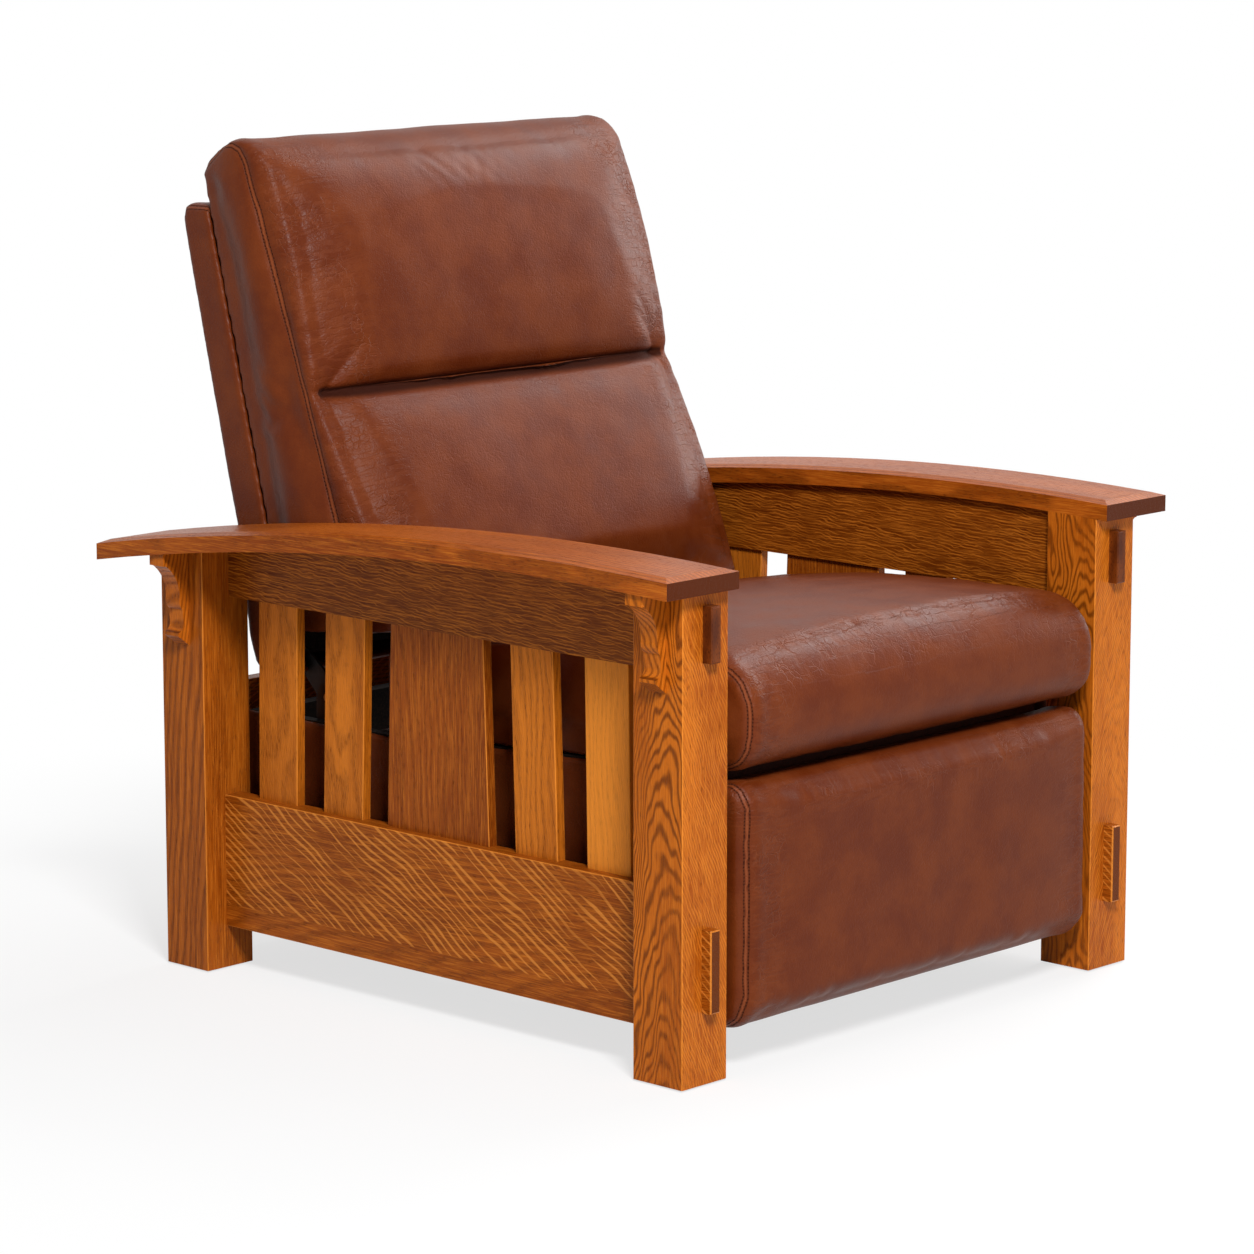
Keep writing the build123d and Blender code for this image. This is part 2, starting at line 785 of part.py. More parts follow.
loose = pivot_radius + pivot_play
tube_spot = (
    lift_pivot[0] - torque_tube_along * cos(fold),
    lift_pivot[1] - torque_tube_along * sin(fold),
)
rear_lift = bored(
    link(lift_pivot, lower_knee, inner_link_x),
    [(loose, lift_pivot), (pivot_radius, rear_cross), (pivot_radius, lower_knee)],
)
front_lift = bored(
    link(slide_pin, upper_knee, outer_link_x),
    [(pivot_radius, slide_pin), (loose, rear_cross), (pivot_radius, upper_knee)],
)
footrest_link = bored(
    link(upper_knee, toe, inner_link_x),
    [(loose, upper_knee), (pivot_radius + open_play, front_cross)],
)
stay_link = bored(
    link(lower_knee, front_cross, outer_link_x),
    [(loose, lower_knee), (pivot_radius, front_cross)],
)
link_face = outer_link_x[1]
rear_lift_rivets = [rivet(rear_cross, 0, link_face), rivet(lower_knee, 0, link_face)]
front_lift_rivets = [
    rivet(upper_knee, running_gap, link_face),
    rod(pivot_radius, (outer_link_x[0], plate_x[1]), *slide_pin),
]


def torque_tube():
    """The tube that ties the two rear lift links together."""
    ends = (-inner_link_x[0], inner_link_x[0])
    tube = rod(torque_tube_radius, ends, *tube_spot)
    return tube - rod(torque_tube_radius - tie_tube_wall, wider(ends, overrun), *tube_spot)


def footrest_angle():
    """A steel angle between the footrest link and the back of the board."""
    y0 = back_from(footrest_rear_back + footboard_thickness)
    z = (angle_bottom, angle_top)
    x1 = inner_link_x[0]
    side = block((x1 - angle_thickness, x1), (y0, y0 + angle_back), z)
    return side + block((x1 - angle_flange, x1), (y0, y0 + angle_thickness), z)


def footrest_outline(crown, inset):
    """The footrest pad's side view, rounded above and rolled under below."""
    front = back_from(-footrest_front - footrest_crown * crown + inset)
    rear = back_from(footrest_rear_back)
    low = footrest_bottom + inset
    top = footrest_top - inset
    upper = footrest_round_top * (1 - sqrt(0.5))
    lower = footrest_round_bottom * (1 - sqrt(0.5))
    return make_face(
        [
            ThreePointArc(
                (front + footrest_round_bottom, low),
                (front + lower, low + lower),
                (front, low + footrest_round_bottom),
            ),
            Line((front, low + footrest_round_bottom), (front, top - footrest_round_top)),
            ThreePointArc(
                (front, top - footrest_round_top),
                (front + upper, top - upper),
                (front + footrest_round_top, top),
            ),
            Line((front + footrest_round_top, top), (rear, footrest_rear_top - inset)),
            Line((rear, footrest_rear_top - inset), (rear, low)),
            Line((rear, low), (front + footrest_round_bottom, low)),
        ]
    )


# The back: points along the rear plane of its cushion, ahead of it and behind it
rear_rise = rear_top_height - rear_foot_height
rear_run = rear_top_depth - rear_foot_depth
rear_slant = hypot(rear_rise, rear_run)
stile_length = rear_slant + stile_drop - stile_top_drop
back_rail_pitch = (stile_length - back_rail_height) / 2 - back_rail_margin
outer_back_bottom = rear_foot_height - outer_back_bottom_drop
outer_back_top = rear_top_height - outer_back_top_drop


def rear_plane(height):
    """The y of the cushion's rear plane at a height."""
    return back_from(rear_foot_depth + rear_run / rear_rise * (height - rear_foot_height))


def behind(along, off):
    """The (y, z) that lies along the cushion's rear plane and off behind it."""
    y = back_from(rear_foot_depth) + (along * rear_run + off * rear_rise) / rear_slant
    z = rear_foot_height + (along * rear_rise - off * rear_run) / rear_slant
    return (y, z)


def slab(along, off, x):
    """A straight piece of the back's frame, in the plane of the back."""
    low = [behind(along[0], off[0]), behind(along[0], off[1])]
    high = [behind(along[1], off[1]), behind(along[1], off[0])]
    return side_plate(polygon(low + high), x)


def bowed(start, end, bow):
    """An arc up the front of the side view that stands out ahead of its ends."""
    run = hypot(end[0] - start[0], end[1] - start[1])
    out = (bow * (end[1] - start[1]) / run, bow * (end[0] - start[0]) / run)
    return ThreePointArc(start, ((start[0] + end[0]) / 2 - out[0], (start[1] + end[1]) / 2 + out[1]), end)


def back_cushion_outline(crown, inset):
    """The back cushion's side view: lumbar pad, waist crease, head pad and its top."""
    foot_z = rear_foot_height + back_foot_rise
    waist_z = rear_foot_height + rear_rise * waist_share
    head_z = rear_top_height + head_rise
    ridge_z = rear_top_height + crown_rise
    crease = waist_crease + waist_crown_crease * crown
    foot_y = rear_plane(foot_z) - back_foot_reach - back_foot_crown * crown + inset
    foot = (foot_y, foot_z + back_foot_lift * crown + inset)
    waist = []
    for rise, depth in ((-waist_roll, 0), (0, crease), (waist_roll, 0)):
        reach = waist_reach + waist_crown * crown - depth - inset
        waist.append((rear_plane(waist_z + rise) - reach, waist_z + rise))
    head = (rear_plane(head_z) - head_reach - head_crown * crown + inset, head_z - inset)
    ridge = (rear_plane(ridge_z) - crown_reach, ridge_z - seam_top_drop * (1 - crown) - inset)
    rear_top = (rear_plane(rear_top_height) - inset, rear_top_height - inset)
    rear_foot = (rear_plane(rear_foot_height) - inset, rear_foot_height + inset)
    bow_out = pad_bow + pad_crown_bow * crown
    turns = [foot] + waist + [head, ridge, rear_top]
    bows = [bow_out, waist_bow_share * crease, waist_bow_share * crease, bow_out, head_brow, top_bow]
    edges = [bowed(low, high, bow) for low, high, bow in zip(turns, turns[1:], bows)]
    return make_face(edges + [Line(rear_top, rear_foot), Line(rear_foot, foot)])


def outer_back():
    """The padded shell behind the back cushion, open in front."""
    fronts = [(rear_plane(height) + soft_gap, height) for height in (outer_back_bottom, outer_back_top)]
    tail_y = rear_plane(rear_top_height - outer_back_tail_drop) + outer_back_tail_reach
    reaches = [
        (outer_back_heel_reach, outer_back_bottom),
        (outer_back_knee_reach, rear_foot_height - outer_back_knee_drop),
        (outer_back_bend_reach, rear_foot_height + rear_rise * outer_back_bend_share),
        (outer_back_tail_reach, rear_top_height - outer_back_tail_drop),
    ]
    rears = [(rear_plane(height) + away, height) for away, height in reaches]
    rears.append((2 * tail_y - rear_plane(outer_back_top) - outer_back_tail_reach, outer_back_top))
    width = (-outer_back_half_width, outer_back_half_width)
    shell = side_plate(polygon([fronts[0]] + rears + [fronts[1]]), width)
    middles = [(edge, edge.center()) for edge in shell.edges()]
    rounded = [edge for edge, spot in middles if spot.Y > rear_plane(spot.Z) + outer_back_wall]
    shell = fillet(rounded, outer_back_round)
    open_front = [(y - overrun, z) for y, z in fronts]
    cavity = offset(polygon([open_front[0]] + rears + [open_front[1]]), -outer_back_wall)
    shell -= side_plate(cavity, wider(width, -outer_back_wall))
    slot_y = (open_front[0][0], bracket_foot[0] + bracket_half_width)
    slot_z = (outer_back_bottom - overrun, outer_back_bottom + outer_back_wall)
    for slot in both(block(wider(bracket_x, running_gap), slot_y, slot_z)):
        shell -= slot
    return shell


stile_x = (outer_back_half_width - outer_back_wall - stile_width, outer_back_half_width - outer_back_wall)
stile_off = (soft_gap + web_thickness, soft_gap + web_thickness + stile_depth)
back_pivot = (back_from(back_pivot_back), back_pivot_height)
bracket_x = (stile_x[0] - bracket_thickness, stile_x[0])
bracket_off = stile_off[0] + stile_depth / 2
bracket_let_in = slab((-stile_drop, bracket_reach + bracket_half_width), wider(stile_off, overrun), bracket_x)
bracket_foot = behind(bracket_half_width - stile_drop, bracket_off)


def bracket():
    """The steel arm from a stile down to the pivot of the back."""
    eye = rod(back_eye_radius, bracket_x, *back_pivot)
    tip = behind(bracket_reach - stile_drop, bracket_off)
    low_bar = strap(back_pivot, bracket_foot, back_eye_radius, bracket_half_width)
    high_bar = strap(bracket_foot, tip, bracket_half_width, bracket_half_width)
    steel = eye + side_plate(polygon(low_bar), bracket_x) + side_plate(polygon(high_bar), bracket_x)
    for spot in (bracket_foot, tip):
        steel += rod(bracket_half_width, bracket_x, *spot)
    steel -= rod(back_bolt_radius + pivot_play, wider(bracket_x, overrun), *back_pivot)
    for screw_piece in bracket_screws:
        steel -= screw_piece
    return steel


def strap(start, end, start_half, end_half):
    """Four corners of a flat bar between two round ends."""
    run = hypot(end[0] - start[0], end[1] - start[1])
    way = ((end[0] - start[0]) / run, (end[1] - start[1]) / run)
    across = (-way[1], way[0])
    corners = []
    for spot, half in ((start, start_half), (end, end_half)):
        corners.append((spot[0] + across[0] * half, spot[1] + across[1] * half))
        corners.insert(0, (spot[0] - across[0] * half, spot[1] - across[1] * half))
    return corners


bracket_tip = bracket_x[1] + stile_width - bracket_thickness
bracket_spots = [behind(along - stile_drop, bracket_off) for along in (bracket_reach / 2, bracket_reach)]
bracket_screws = [screw(bracket_x[0], bracket_tip, *spot) for spot in bracket_spots]
bush_x = (bracket_x[1] + running_gap, plate_x[0])
bolt_seat = bracket_x[0] - running_gap


def back_bolt():
    """The shouldered bolt on which the back turns."""
    head = rod(back_bolt_head, (bolt_seat - plate_thickness, bolt_seat), *back_pivot)
    return head + rod(back_bolt_radius, (bolt_seat - plate_thickness, plate_x[1]), *back_pivot)


def bush():
    """The spacer between the plate and the bracket."""
    ring = rod(bush_radius, bush_x, *back_pivot)
    return ring - rod(back_bolt_radius, wider(bush_x, overrun), *back_pivot)


def side_cover():
    """The padded leather on the outside of a seat side."""
    inner = side_plate(side_outline(0), (cover_x[0], cover_x[0] + cover_thickness / 2))
    rim = (cover_x[0] + cover_thickness / 2, cover_x[1])
    edge = Plane.YZ.offset(rim[0]) * side_outline(0)
    crest = Plane.YZ.offset(rim[1]) * side_outline(cover_thickness)
    return inner + loft([edge, crest], ruled=True)


def nose_rail():
    """The covered rail under the front of the cushion, which laps the ends of the side boards."""
    depths = (nose_rail_front, front_rail_back)
    top = [(back_from(at), under_cushion(at) - soft_gap - deck_thickness) for at in depths]
    face = polygon([(top[0][0], nose_rail_bottom)] + top + [(top[1][0], nose_rail_bottom)])
    rail = side_plate(face, wider((-board_x[0], board_x[0]), -nose_rail_end_gap))
    lap_y = (top[0][0], back_from(side_board_front) - soft_gap)
    lap_top = under_cushion(side_board_front) - soft_gap - deck_thickness
    return rail + block((-seat_half_width, seat_half_width), lap_y, (nose_rail_bottom, lap_top))


def rear_seat_board():
    """The board that closes the seat box behind."""
    y = (back_from(rear_board_back), back_from(rear_board_back) + seat_rail_thickness)
    return block((-board_x[0], board_x[0]), y, (side_board_bottom, side_board_rear_top - soft_gap))


def tie_tube(depth):
    """A tube that holds the two steel plates apart."""
    spot = (back_from(depth), tie_tube_height)
    tube = rod(tie_tube_radius, between_plates, *spot)
    return tube - rod(tie_tube_radius - tie_tube_wall, wider(between_plates, overrun), *spot)


def deck_pad():
    """The felt between the springs and the cushion."""
    depths = (nose_rail_front, rear_rail_back + seat_rail_thickness)
    face = deck_strip(depths, (soft_gap, soft_gap + deck_thickness))
    return side_plate(face, wider(between_plates, -plate_thickness))


def lift_pin():
    """The pin on which a rear lift link turns in its plate."""
    seat = inner_link_x[0] - running_gap
    head = rod(rivet_head_radius, (seat - rivet_head, seat), *lift_pivot)
    return head + rod(pivot_radius, (seat - rivet_head, plate_x[1]), *lift_pivot)


def footboard():
    """The board that carries the footrest pad."""
    half = inner_link_x[0] - angle_thickness
    y = (back_from(footrest_rear_back), back_from(footrest_rear_back + footboard_thickness))
    z = (footrest_bottom + footboard_margin, footrest_rear_top - footboard_margin)
    return eased(block((-half, half), y, z), Axis.Z)


def stile():
    """An upright of the back's frame."""
    piece = slab((-stile_drop, stile_length - stile_drop), stile_off, stile_x)
    for screw_piece in bracket_screws:
        piece -= screw_piece
    return piece


def back_rails():
    """Three rails between the stiles."""
    low = stile_length / 2 - stile_drop - back_rail_height / 2
    rails = []
    for step in (-1, 0, 1):
        start = low + step * back_rail_pitch
        off = (stile_off[0], stile_off[0] + back_rail_depth)
        rail = slab((start, start + back_rail_height), off, (-stile_x[0], stile_x[0]))
        for piece in both(bracket_let_in, *bracket_screws):
            rail -= piece
        rails.append(rail)
    return rails


def back_webs():
    """Upright webs in front of the rails, which hold the cushion."""
    run = (back_rail_height / 2 - stile_drop, stile_length - stile_drop - back_rail_height / 2)
    webs = []
    for count in range(web_count):
        middle = (count - (web_count - 1) / 2) * web_pitch
        webs.append(slab(run, (soft_gap, stile_off[0]), (middle - web_width / 2, middle + web_width / 2)))
    return webs


spring_places = [(row - (spring_rows - 1) / 2) * spring_pitch for row in range(spring_rows)]
seat_stations = [(seam_half_width, 0, 0), (seam_half_width + panel_bulge, 0, panel_inset)]
footrest_stations = [
    (footrest_half_width - footrest_edge, footrest_edge_crown_share, 0),
    (footrest_half_width, 0, footrest_edge),
]
back_stations = [(back_half_width - back_shoulder * draw, crown, 0) for draw, crown in back_edge_shares]

# Seat unit
steel_plate = plate()
wooden_side = side_plate(side_outline(0), board_x)
for piece in plate_bolts:
    steel_plate -= piece
    wooden_side -= piece
channel = track()
for piece in track_screws:
    channel -= piece
group("seat_tracks", both(channel))
group("track_screws", both(*track_screws))
group("seat_side_boards", both(wooden_side))
group("seat_side_covers", both(side_cover()))
group("seat_side_plates", both(steel_plate))
group("glide_blocks", both(glide_block(front_glide_back), glide_block(rear_glide_back)))
group("plate_bolts", both(*plate_bolts))
place("front_seat_rail", seat_rail(front_rail_back, front_rail_bottom))
place("rear_seat_rail", seat_rail(rear_rail_back, rear_rail_bottom))
place("nose_rail", nose_rail())
place("rear_seat_board", rear_seat_board())
group("tie_tubes", [tie_tube(front_glide_back), tie_tube(rear_glide_back)])
group("seat_springs", [spring(x) for x in spring_places])
group("spring_clips", [clip(x, end) for x in spring_places for end in (0, 1)])
place("deck_pad", deck_pad())
place("seat_cushion", pad(seat_cushion_outline, seat_stations))
group("lift_pivots", both(lift_pin()))

# Footrest and its linkage
group("rear_lift_links", both(rear_lift))
place("torque_tube", torque_tube())
group("rear_lift_rivets", both(*rear_lift_rivets))
group("front_lift_links", both(front_lift))
group("front_lift_rivets", both(*front_lift_rivets))
group("footrest_links", both(footrest_link))
group("footrest_angles", both(footrest_angle()))
group("stay_links", both(stay_link))
group("stay_rivets", both(rivet(front_cross, running_gap, link_face)))
place("footboard", footboard())
place("footrest_pad", pad(footrest_outline, footrest_stations))

# Back unit
place("back_cushion", pad(back_cushion_outline, back_stations))
place("outer_back", outer_back())
group("back_stiles", both(stile()))
group("back_rails", back_rails())
group("back_webs", back_webs())
group("back_brackets", both(bracket()))
group("bracket_screws", both(*bracket_screws))
group("back_bolts", both(back_bolt()))
group("back_bushes", both(bush()))
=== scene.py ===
from math import cos, pi, radians, sin

import bmesh
import bpy
import numpy
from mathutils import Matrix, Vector, noise
from mathutils.bvhtree import BVHTree
from mathutils.kdtree import KDTree


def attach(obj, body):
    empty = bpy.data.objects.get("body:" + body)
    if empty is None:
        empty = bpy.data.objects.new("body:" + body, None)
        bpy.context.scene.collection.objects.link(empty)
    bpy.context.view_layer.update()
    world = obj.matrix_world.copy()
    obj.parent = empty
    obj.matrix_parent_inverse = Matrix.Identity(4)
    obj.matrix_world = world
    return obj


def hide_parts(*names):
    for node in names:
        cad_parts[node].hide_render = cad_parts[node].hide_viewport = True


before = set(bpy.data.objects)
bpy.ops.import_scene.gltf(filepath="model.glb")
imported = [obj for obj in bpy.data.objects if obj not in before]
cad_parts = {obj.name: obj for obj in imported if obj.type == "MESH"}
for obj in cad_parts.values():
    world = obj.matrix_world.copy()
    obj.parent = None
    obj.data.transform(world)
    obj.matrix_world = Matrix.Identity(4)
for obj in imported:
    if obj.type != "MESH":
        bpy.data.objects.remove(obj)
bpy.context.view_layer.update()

# Camera: where the photograph was taken from, 1.4 m above the floor and 5.7 m away, turned a little
# downwards, with a long lens.
camera = bpy.data.objects.new("camera", bpy.data.cameras.new("camera"))
bpy.context.scene.collection.objects.link(camera)
camera_down, camera_turn = 10.06, -46.93
camera.location = (-4.141, -3.864, 1.431)
camera.rotation_euler = (radians(90 - camera_down), 0, radians(camera_turn))
camera.data.lens = 132.1
camera.data.sensor_width = 36
camera.data.clip_end = 200
bpy.context.scene.camera = camera
bpy.context.scene.view_settings.view_transform = "Standard"

# Legs: four square posts of solid oak with eased arrises. The front ones show rays on their front and
# back faces, and the bold nested points of flat-sawn wood on their outer ones.


def tone(red, green, blue):
    """A colour given as it looks on a screen, from 0 to 255."""
    return tuple((share / 255) ** 2.2 for share in (red, green, blue)) + (1,)


def add(tree, kind, sockets=(), **settings):
    """A shader node with its settings, its sockets filled with values or with other nodes' outputs."""
    made = tree.nodes.new("ShaderNode" + kind)
    for name, value in settings.items():
        setattr(made, name, value)
    for name, value in dict(sockets).items():
        socket = made.inputs[name]
        if isinstance(value, bpy.types.NodeSocket):
            tree.links.new(value, socket)
        else:
            socket.default_value = value
    return made


def maths(tree, operation, *values):
    """One sum on numbers or on other nodes' outputs."""
    return add(tree, "Math", enumerate(values), operation=operation).outputs[0]


def mixed(tree, share, first, second):
    """Two colours mixed by a share."""
    return add(tree, "Mix", {0: share, 6: first, 7: second}, data_type="RGBA").outputs[2]


def rise(tree, value, low, high):
    """A smooth step from 0 at low to 1 at high."""
    sockets = {"Value": value, "From Min": low, "From Max": high}
    return add(tree, "MapRange", sockets, interpolation_type="SMOOTHSTEP").outputs[0]


def fall(tree, value, low, high):
    """A smooth step from 1 at low to 0 at high."""
    return maths(tree, "SUBTRACT", 1.0, rise(tree, value, low, high))


def clouds(tree, place, scale, detail=2.0, rough=0.5):
    """Soft noise from 0 to 1."""
    sockets = {"Vector": place, "Scale": scale, "Detail": detail, "Roughness": rough}
    return add(tree, "TexNoise", sockets).outputs[0]


def stretched(tree, place, sizes):
    """Coordinates scaled along each axis, so that a pattern has these sizes in metres."""
    scale = [1 / size for size in sizes]
    return add(tree, "Mapping", {"Vector": place, "Scale": scale}).outputs[0]


def finish(name, colour, roughness, **constants):
    """A new material with its shader, and the coordinates that its patterns lie in."""
    made = bpy.data.materials.new(name)
    made.use_nodes = True
    tree = made.node_tree
    shader = tree.nodes["Principled BSDF"]
    shader.inputs["Base Color"].default_value = colour
    shader.inputs["Roughness"].default_value = roughness
    for socket, value in constants.items():
        shader.inputs[socket.replace("_", " ")].default_value = value
    place = add(tree, "TexCoord").outputs["Object"]
    return made, tree, shader, place


def coloured(tree, shader, share, first, second):
    """Give a shader two colours mixed by a share."""
    tree.links.new(mixed(tree, share, first, second), shader.inputs["Base Color"])


def relief(tree, shader, height, distance):
    """Fine relief on a surface, as a height in shares of a distance."""
    bump = add(tree, "Bump", {"Height": height, "Distance": distance, "Strength": 1.0})
    tree.links.new(bump.outputs[0], shader.inputs["Normal"])


# stained oak, from the open pores to the rays, under a warm varnish
oak_dark = tone(84, 36, 6)
oak_brown = tone(150, 72, 18)
oak_amber = tone(186, 98, 26)
oak_gold = tone(214, 124, 42)
oak_ray = tone(226, 140, 58)
oak_end = tone(78, 34, 10)
varnish_gloss = 0.14
varnish_tint = tone(255, 214, 170)
# sizes of the oak's patterns, twice across the grain and once along it
ring_drift = (0.045, 0.045, 0.15)
stain_patch = (0.05, 0.05, 0.3)
fibre_size = (0.0011, 0.0011, 0.04)
pore_size = (0.0010, 0.0010, 0.011)
# patches in which the rays are strong or weak, along x, y and z
ray_patch = (0.08, 0.08, 0.06)
# the radius from the heart at which the rings have their plain spacing, and the pores' place in a ring
plain_radius = 0.02
pore_place = 0.36


def facing(tree, normal, axis, low=0.6, high=0.8):
    """1 where a face looks along an axis, either way."""
    return rise(tree, maths(tree, "ABSOLUTE", normal["XYZ".index(axis)]), low, high)


def flecks(tree, parts, plane, lean, gap, bend, wave, fat):
    """Bright streaks that lean in a plane, in rows with a gap between them. The rows bend slowly and
    wave quickly, by so many gaps, and fat is half a streak's greatest width in gaps."""
    first, second = (parts["XYZ".index(letter)] for letter in plane)
    sine, cosine = sin(radians(lean)), cos(radians(lean))
    over = maths(tree, "MULTIPLY", first, sine)
    over = maths(tree, "SUBTRACT", over, maths(tree, "MULTIPLY", second, cosine))
    down = maths(tree, "MULTIPLY", first, cosine)
    down = maths(tree, "ADD", down, maths(tree, "MULTIPLY", second, sine))
    flat = add(tree, "CombineXYZ", {0: over, 1: down, 2: 0.0}).outputs[0]
    slow = clouds(tree, stretched(tree, flat, (gap * 12, gap * 14, 1.0)), 1.0, 1.0)
    quick = clouds(tree, stretched(tree, flat, (gap * 3.0, gap * 6.5, 1.0)), 1.0, 2.0)
    shifted = maths(tree, "MULTIPLY_ADD", quick, wave * gap, over)
    shifted = maths(tree, "MULTIPLY_ADD", slow, bend * gap, shifted)
    row = maths(tree, "DIVIDE", shifted, gap)
    ridge = maths(tree, "ABSOLUTE", maths(tree, "SUBTRACT", maths(tree, "FRACT", row), 0.5))
    # each row swells and thins along its length in its own way
    apart, length = 3.7, gap * 11
    count = maths(tree, "MULTIPLY", maths(tree, "FLOOR", row), apart)
    spot = add(tree, "CombineXYZ", {0: count, 1: maths(tree, "DIVIDE", down, length), 2: 0.0}).outputs[0]
    width = maths(tree, "MULTIPLY", rise(tree, clouds(tree, spot, 1.0, 1.0), 0.27, 0.68), fat)
    streak = fall(tree, maths(tree, "SUBTRACT", ridge, width), -0.06, 0.06)
    return maths(tree, "MULTIPLY", streak, rise(tree, width, 0.015, 0.08))


def oak(
    name,
    along,
    heart,
    spacing=0.004,
    lines=0.5,
    brown=oak_brown,
    amber=oak_amber,
    sway=0.008,
    slope=0.04,
    swell=1.0,
    quiet=None,
    rays=None,
    arris_highlight=0.5,
    end=0.8,
):
    """Oak with open pores and with rings round a heart line along one axis. The rings drift by sway,
    slope along the heart, widen or crowd by a power of their radius, and are quiet on the faces
    along one axis. Rays are the settings of flecks, the axis that their faces look along, their
    share, and their colour and lowest point where they have their own."""
    made, tree, shader, place = finish(
        name, amber, 0.38, Specular_IOR_Level=varnish_gloss, Specular_Tint=varnish_tint
    )
    axes = {"X": (1, 2, 0), "Y": (2, 0, 1), "Z": (0, 1, 2)}[along]
    parts = add(tree, "SeparateXYZ", {0: place}).outputs
    normal = add(tree, "SeparateXYZ", {0: place.node.outputs["Normal"]}).outputs
    across, deep, length = (parts[axis] for axis in axes)
    grain = add(tree, "CombineXYZ", {0: across, 1: deep, 2: length}).outputs[0]

    drift = {"Vector": stretched(tree, grain, ring_drift), "Scale": 1.0, "Detail": 2.0}
    moved = add(tree, "SeparateXYZ", {0: add(tree, "TexNoise", drift).outputs["Color"]}).outputs
    side = maths(tree, "MULTIPLY_ADD", moved[0], sway, maths(tree, "SUBTRACT", across, heart[0]))
    back = maths(tree, "MULTIPLY_ADD", moved[1], sway, maths(tree, "SUBTRACT", deep, heart[1]))
    squares = maths(tree, "ADD", maths(tree, "POWER", side, 2.0), maths(tree, "POWER", back, 2.0))
    radius = maths(tree, "POWER", maths(tree, "MULTIPLY", squares, plain_radius ** -2), swell / 2)
    radius = maths(tree, "MULTIPLY", radius, plain_radius)
    radius = maths(tree, "MULTIPLY_ADD", length, slope, radius)
    ring = maths(tree, "FRACT", maths(tree, "DIVIDE", radius, spacing))
    early = fall(tree, maths(tree, "ABSOLUTE", maths(tree, "SUBTRACT", ring, pore_place)), 0.04, 0.34)

    blotch = clouds(tree, stretched(tree, grain, stain_patch), 1.0, 3.0)
    fibre = clouds(tree, stretched(tree, grain, fibre_size), 1.0, 2.0, 0.6)
    pore = rise(tree, clouds(tree, stretched(tree, grain, pore_size), 1.0, 1.0), 0.55, 0.68)
    pore = maths(tree, "MULTIPLY", pore, maths(tree, "MULTIPLY_ADD", early, 0.65, 0.35))

    wood = mixed(tree, rise(tree, blotch, 0.3, 0.7), brown, amber)
    wood = mixed(tree, maths(tree, "MULTIPLY", rise(tree, fibre, 0.4, 0.75), 0.5), wood, oak_gold)
    strong = maths(tree, "MULTIPLY_ADD", rise(tree, blotch, 0.3, 0.6), lines * 0.8, lines * 0.4)
    share = maths(tree, "MULTIPLY", early, strong)
    if quiet:
        loud = maths(tree, "MULTIPLY_ADD", facing(tree, normal, quiet), -0.8, 1.0)
        share = maths(tree, "MULTIPLY", share, loud)
    wood = mixed(tree, share, wood, oak_dark)
    wood = mixed(tree, maths(tree, "MULTIPLY", pore, 0.62), wood, oak_dark)
    height = maths(tree, "SUBTRACT", maths(tree, "MULTIPLY", fibre, 0.25), pore)
    if rays:
        streak = flecks(tree, parts, **rays["shape"])
        patch = clouds(tree, stretched(tree, place, ray_patch), 1.0, 1.0)
        patch = maths(tree, "MULTIPLY_ADD", rise(tree, patch, 0.3, 0.5), 0.5, 0.5)
        bright = maths(tree, "MULTIPLY", facing(tree, normal, rays["face"]), rays["share"])
        streak = maths(tree, "MULTIPLY", maths(tree, "MULTIPLY", streak, patch), bright)
        if "lowest" in rays:
            above = rise(tree, parts[2], rays["lowest"], rays["lowest"] + 0.003)
            streak = maths(tree, "MULTIPLY", streak, above)
        wood = mixed(tree, streak, wood, rays.get("colour", oak_ray))
        height = maths(tree, "MULTIPLY_ADD", streak, 0.3, height)
    if arris_highlight:
        # painted highlight: the eased arrises look aslant, and are coloured paler as if they caught the light
        turned = [maths(tree, "ABSOLUTE", axis) for axis in normal]
        turned = maths(tree, "ADD", turned[0], maths(tree, "ADD", turned[1], turned[2]))
        wood = mixed(tree, maths(tree, "MULTIPLY", rise(tree, turned, 1.22, 1.36), arris_highlight), wood, oak_ray)
    ends = maths(tree, "MULTIPLY", facing(tree, normal, along, 0.7, 0.9), end)
    coloured(tree, shader, ends, wood, oak_end)
    tree.links.new(maths(tree, "MULTIPLY_ADD", pore, 0.25, 0.36), shader.inputs["Roughness"])
    relief(tree, shader, height, 0.0002)
    return made


def dressed(material, *nodes):
    """The solid keeps its shape and takes this material."""
    for node in nodes:
        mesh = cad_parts[node].data
        mesh.materials.clear()
        mesh.materials.append(material)


for side, way in (("left", 1), ("right", -1)):
    # the heart lies just behind the outer face, so that the rings come out there as nested points
    front_leg_oak = oak(
        "front leg oak " + side,
        along="Z",
        heart=(way * 0.408, -0.412),
        spacing=0.0145,
        lines=0.6,
        sway=0.055,
        slope=0.5,
        swell=1.7,
        quiet="Y",
        rays={
            "shape": {"plane": "XZ", "lean": way * 66, "gap": 0.0036, "bend": 3.0, "wave": 1.1, "fat": 0.3},
            "face": "Y",
            "share": 0.5,
            "colour": oak_gold,
        },
    )
    dressed(front_leg_oak, "front_leg_" + side)
    # the rear legs are coloured darker than the front ones, a painted shade for the shadow of the arms and
    # the front of the chair on them
    rear_leg_oak = oak(
        "rear leg oak " + side,
        along="Z",
        heart=(way * 0.33, 0.30),
        spacing=0.009,
        lines=0.45,
        brown=tone(126, 60, 15),
        amber=tone(160, 82, 22),
        sway=0.02,
        slope=0.07,
        quiet="Y",
    )
    dressed(rear_leg_oak, "rear_leg_" + side)

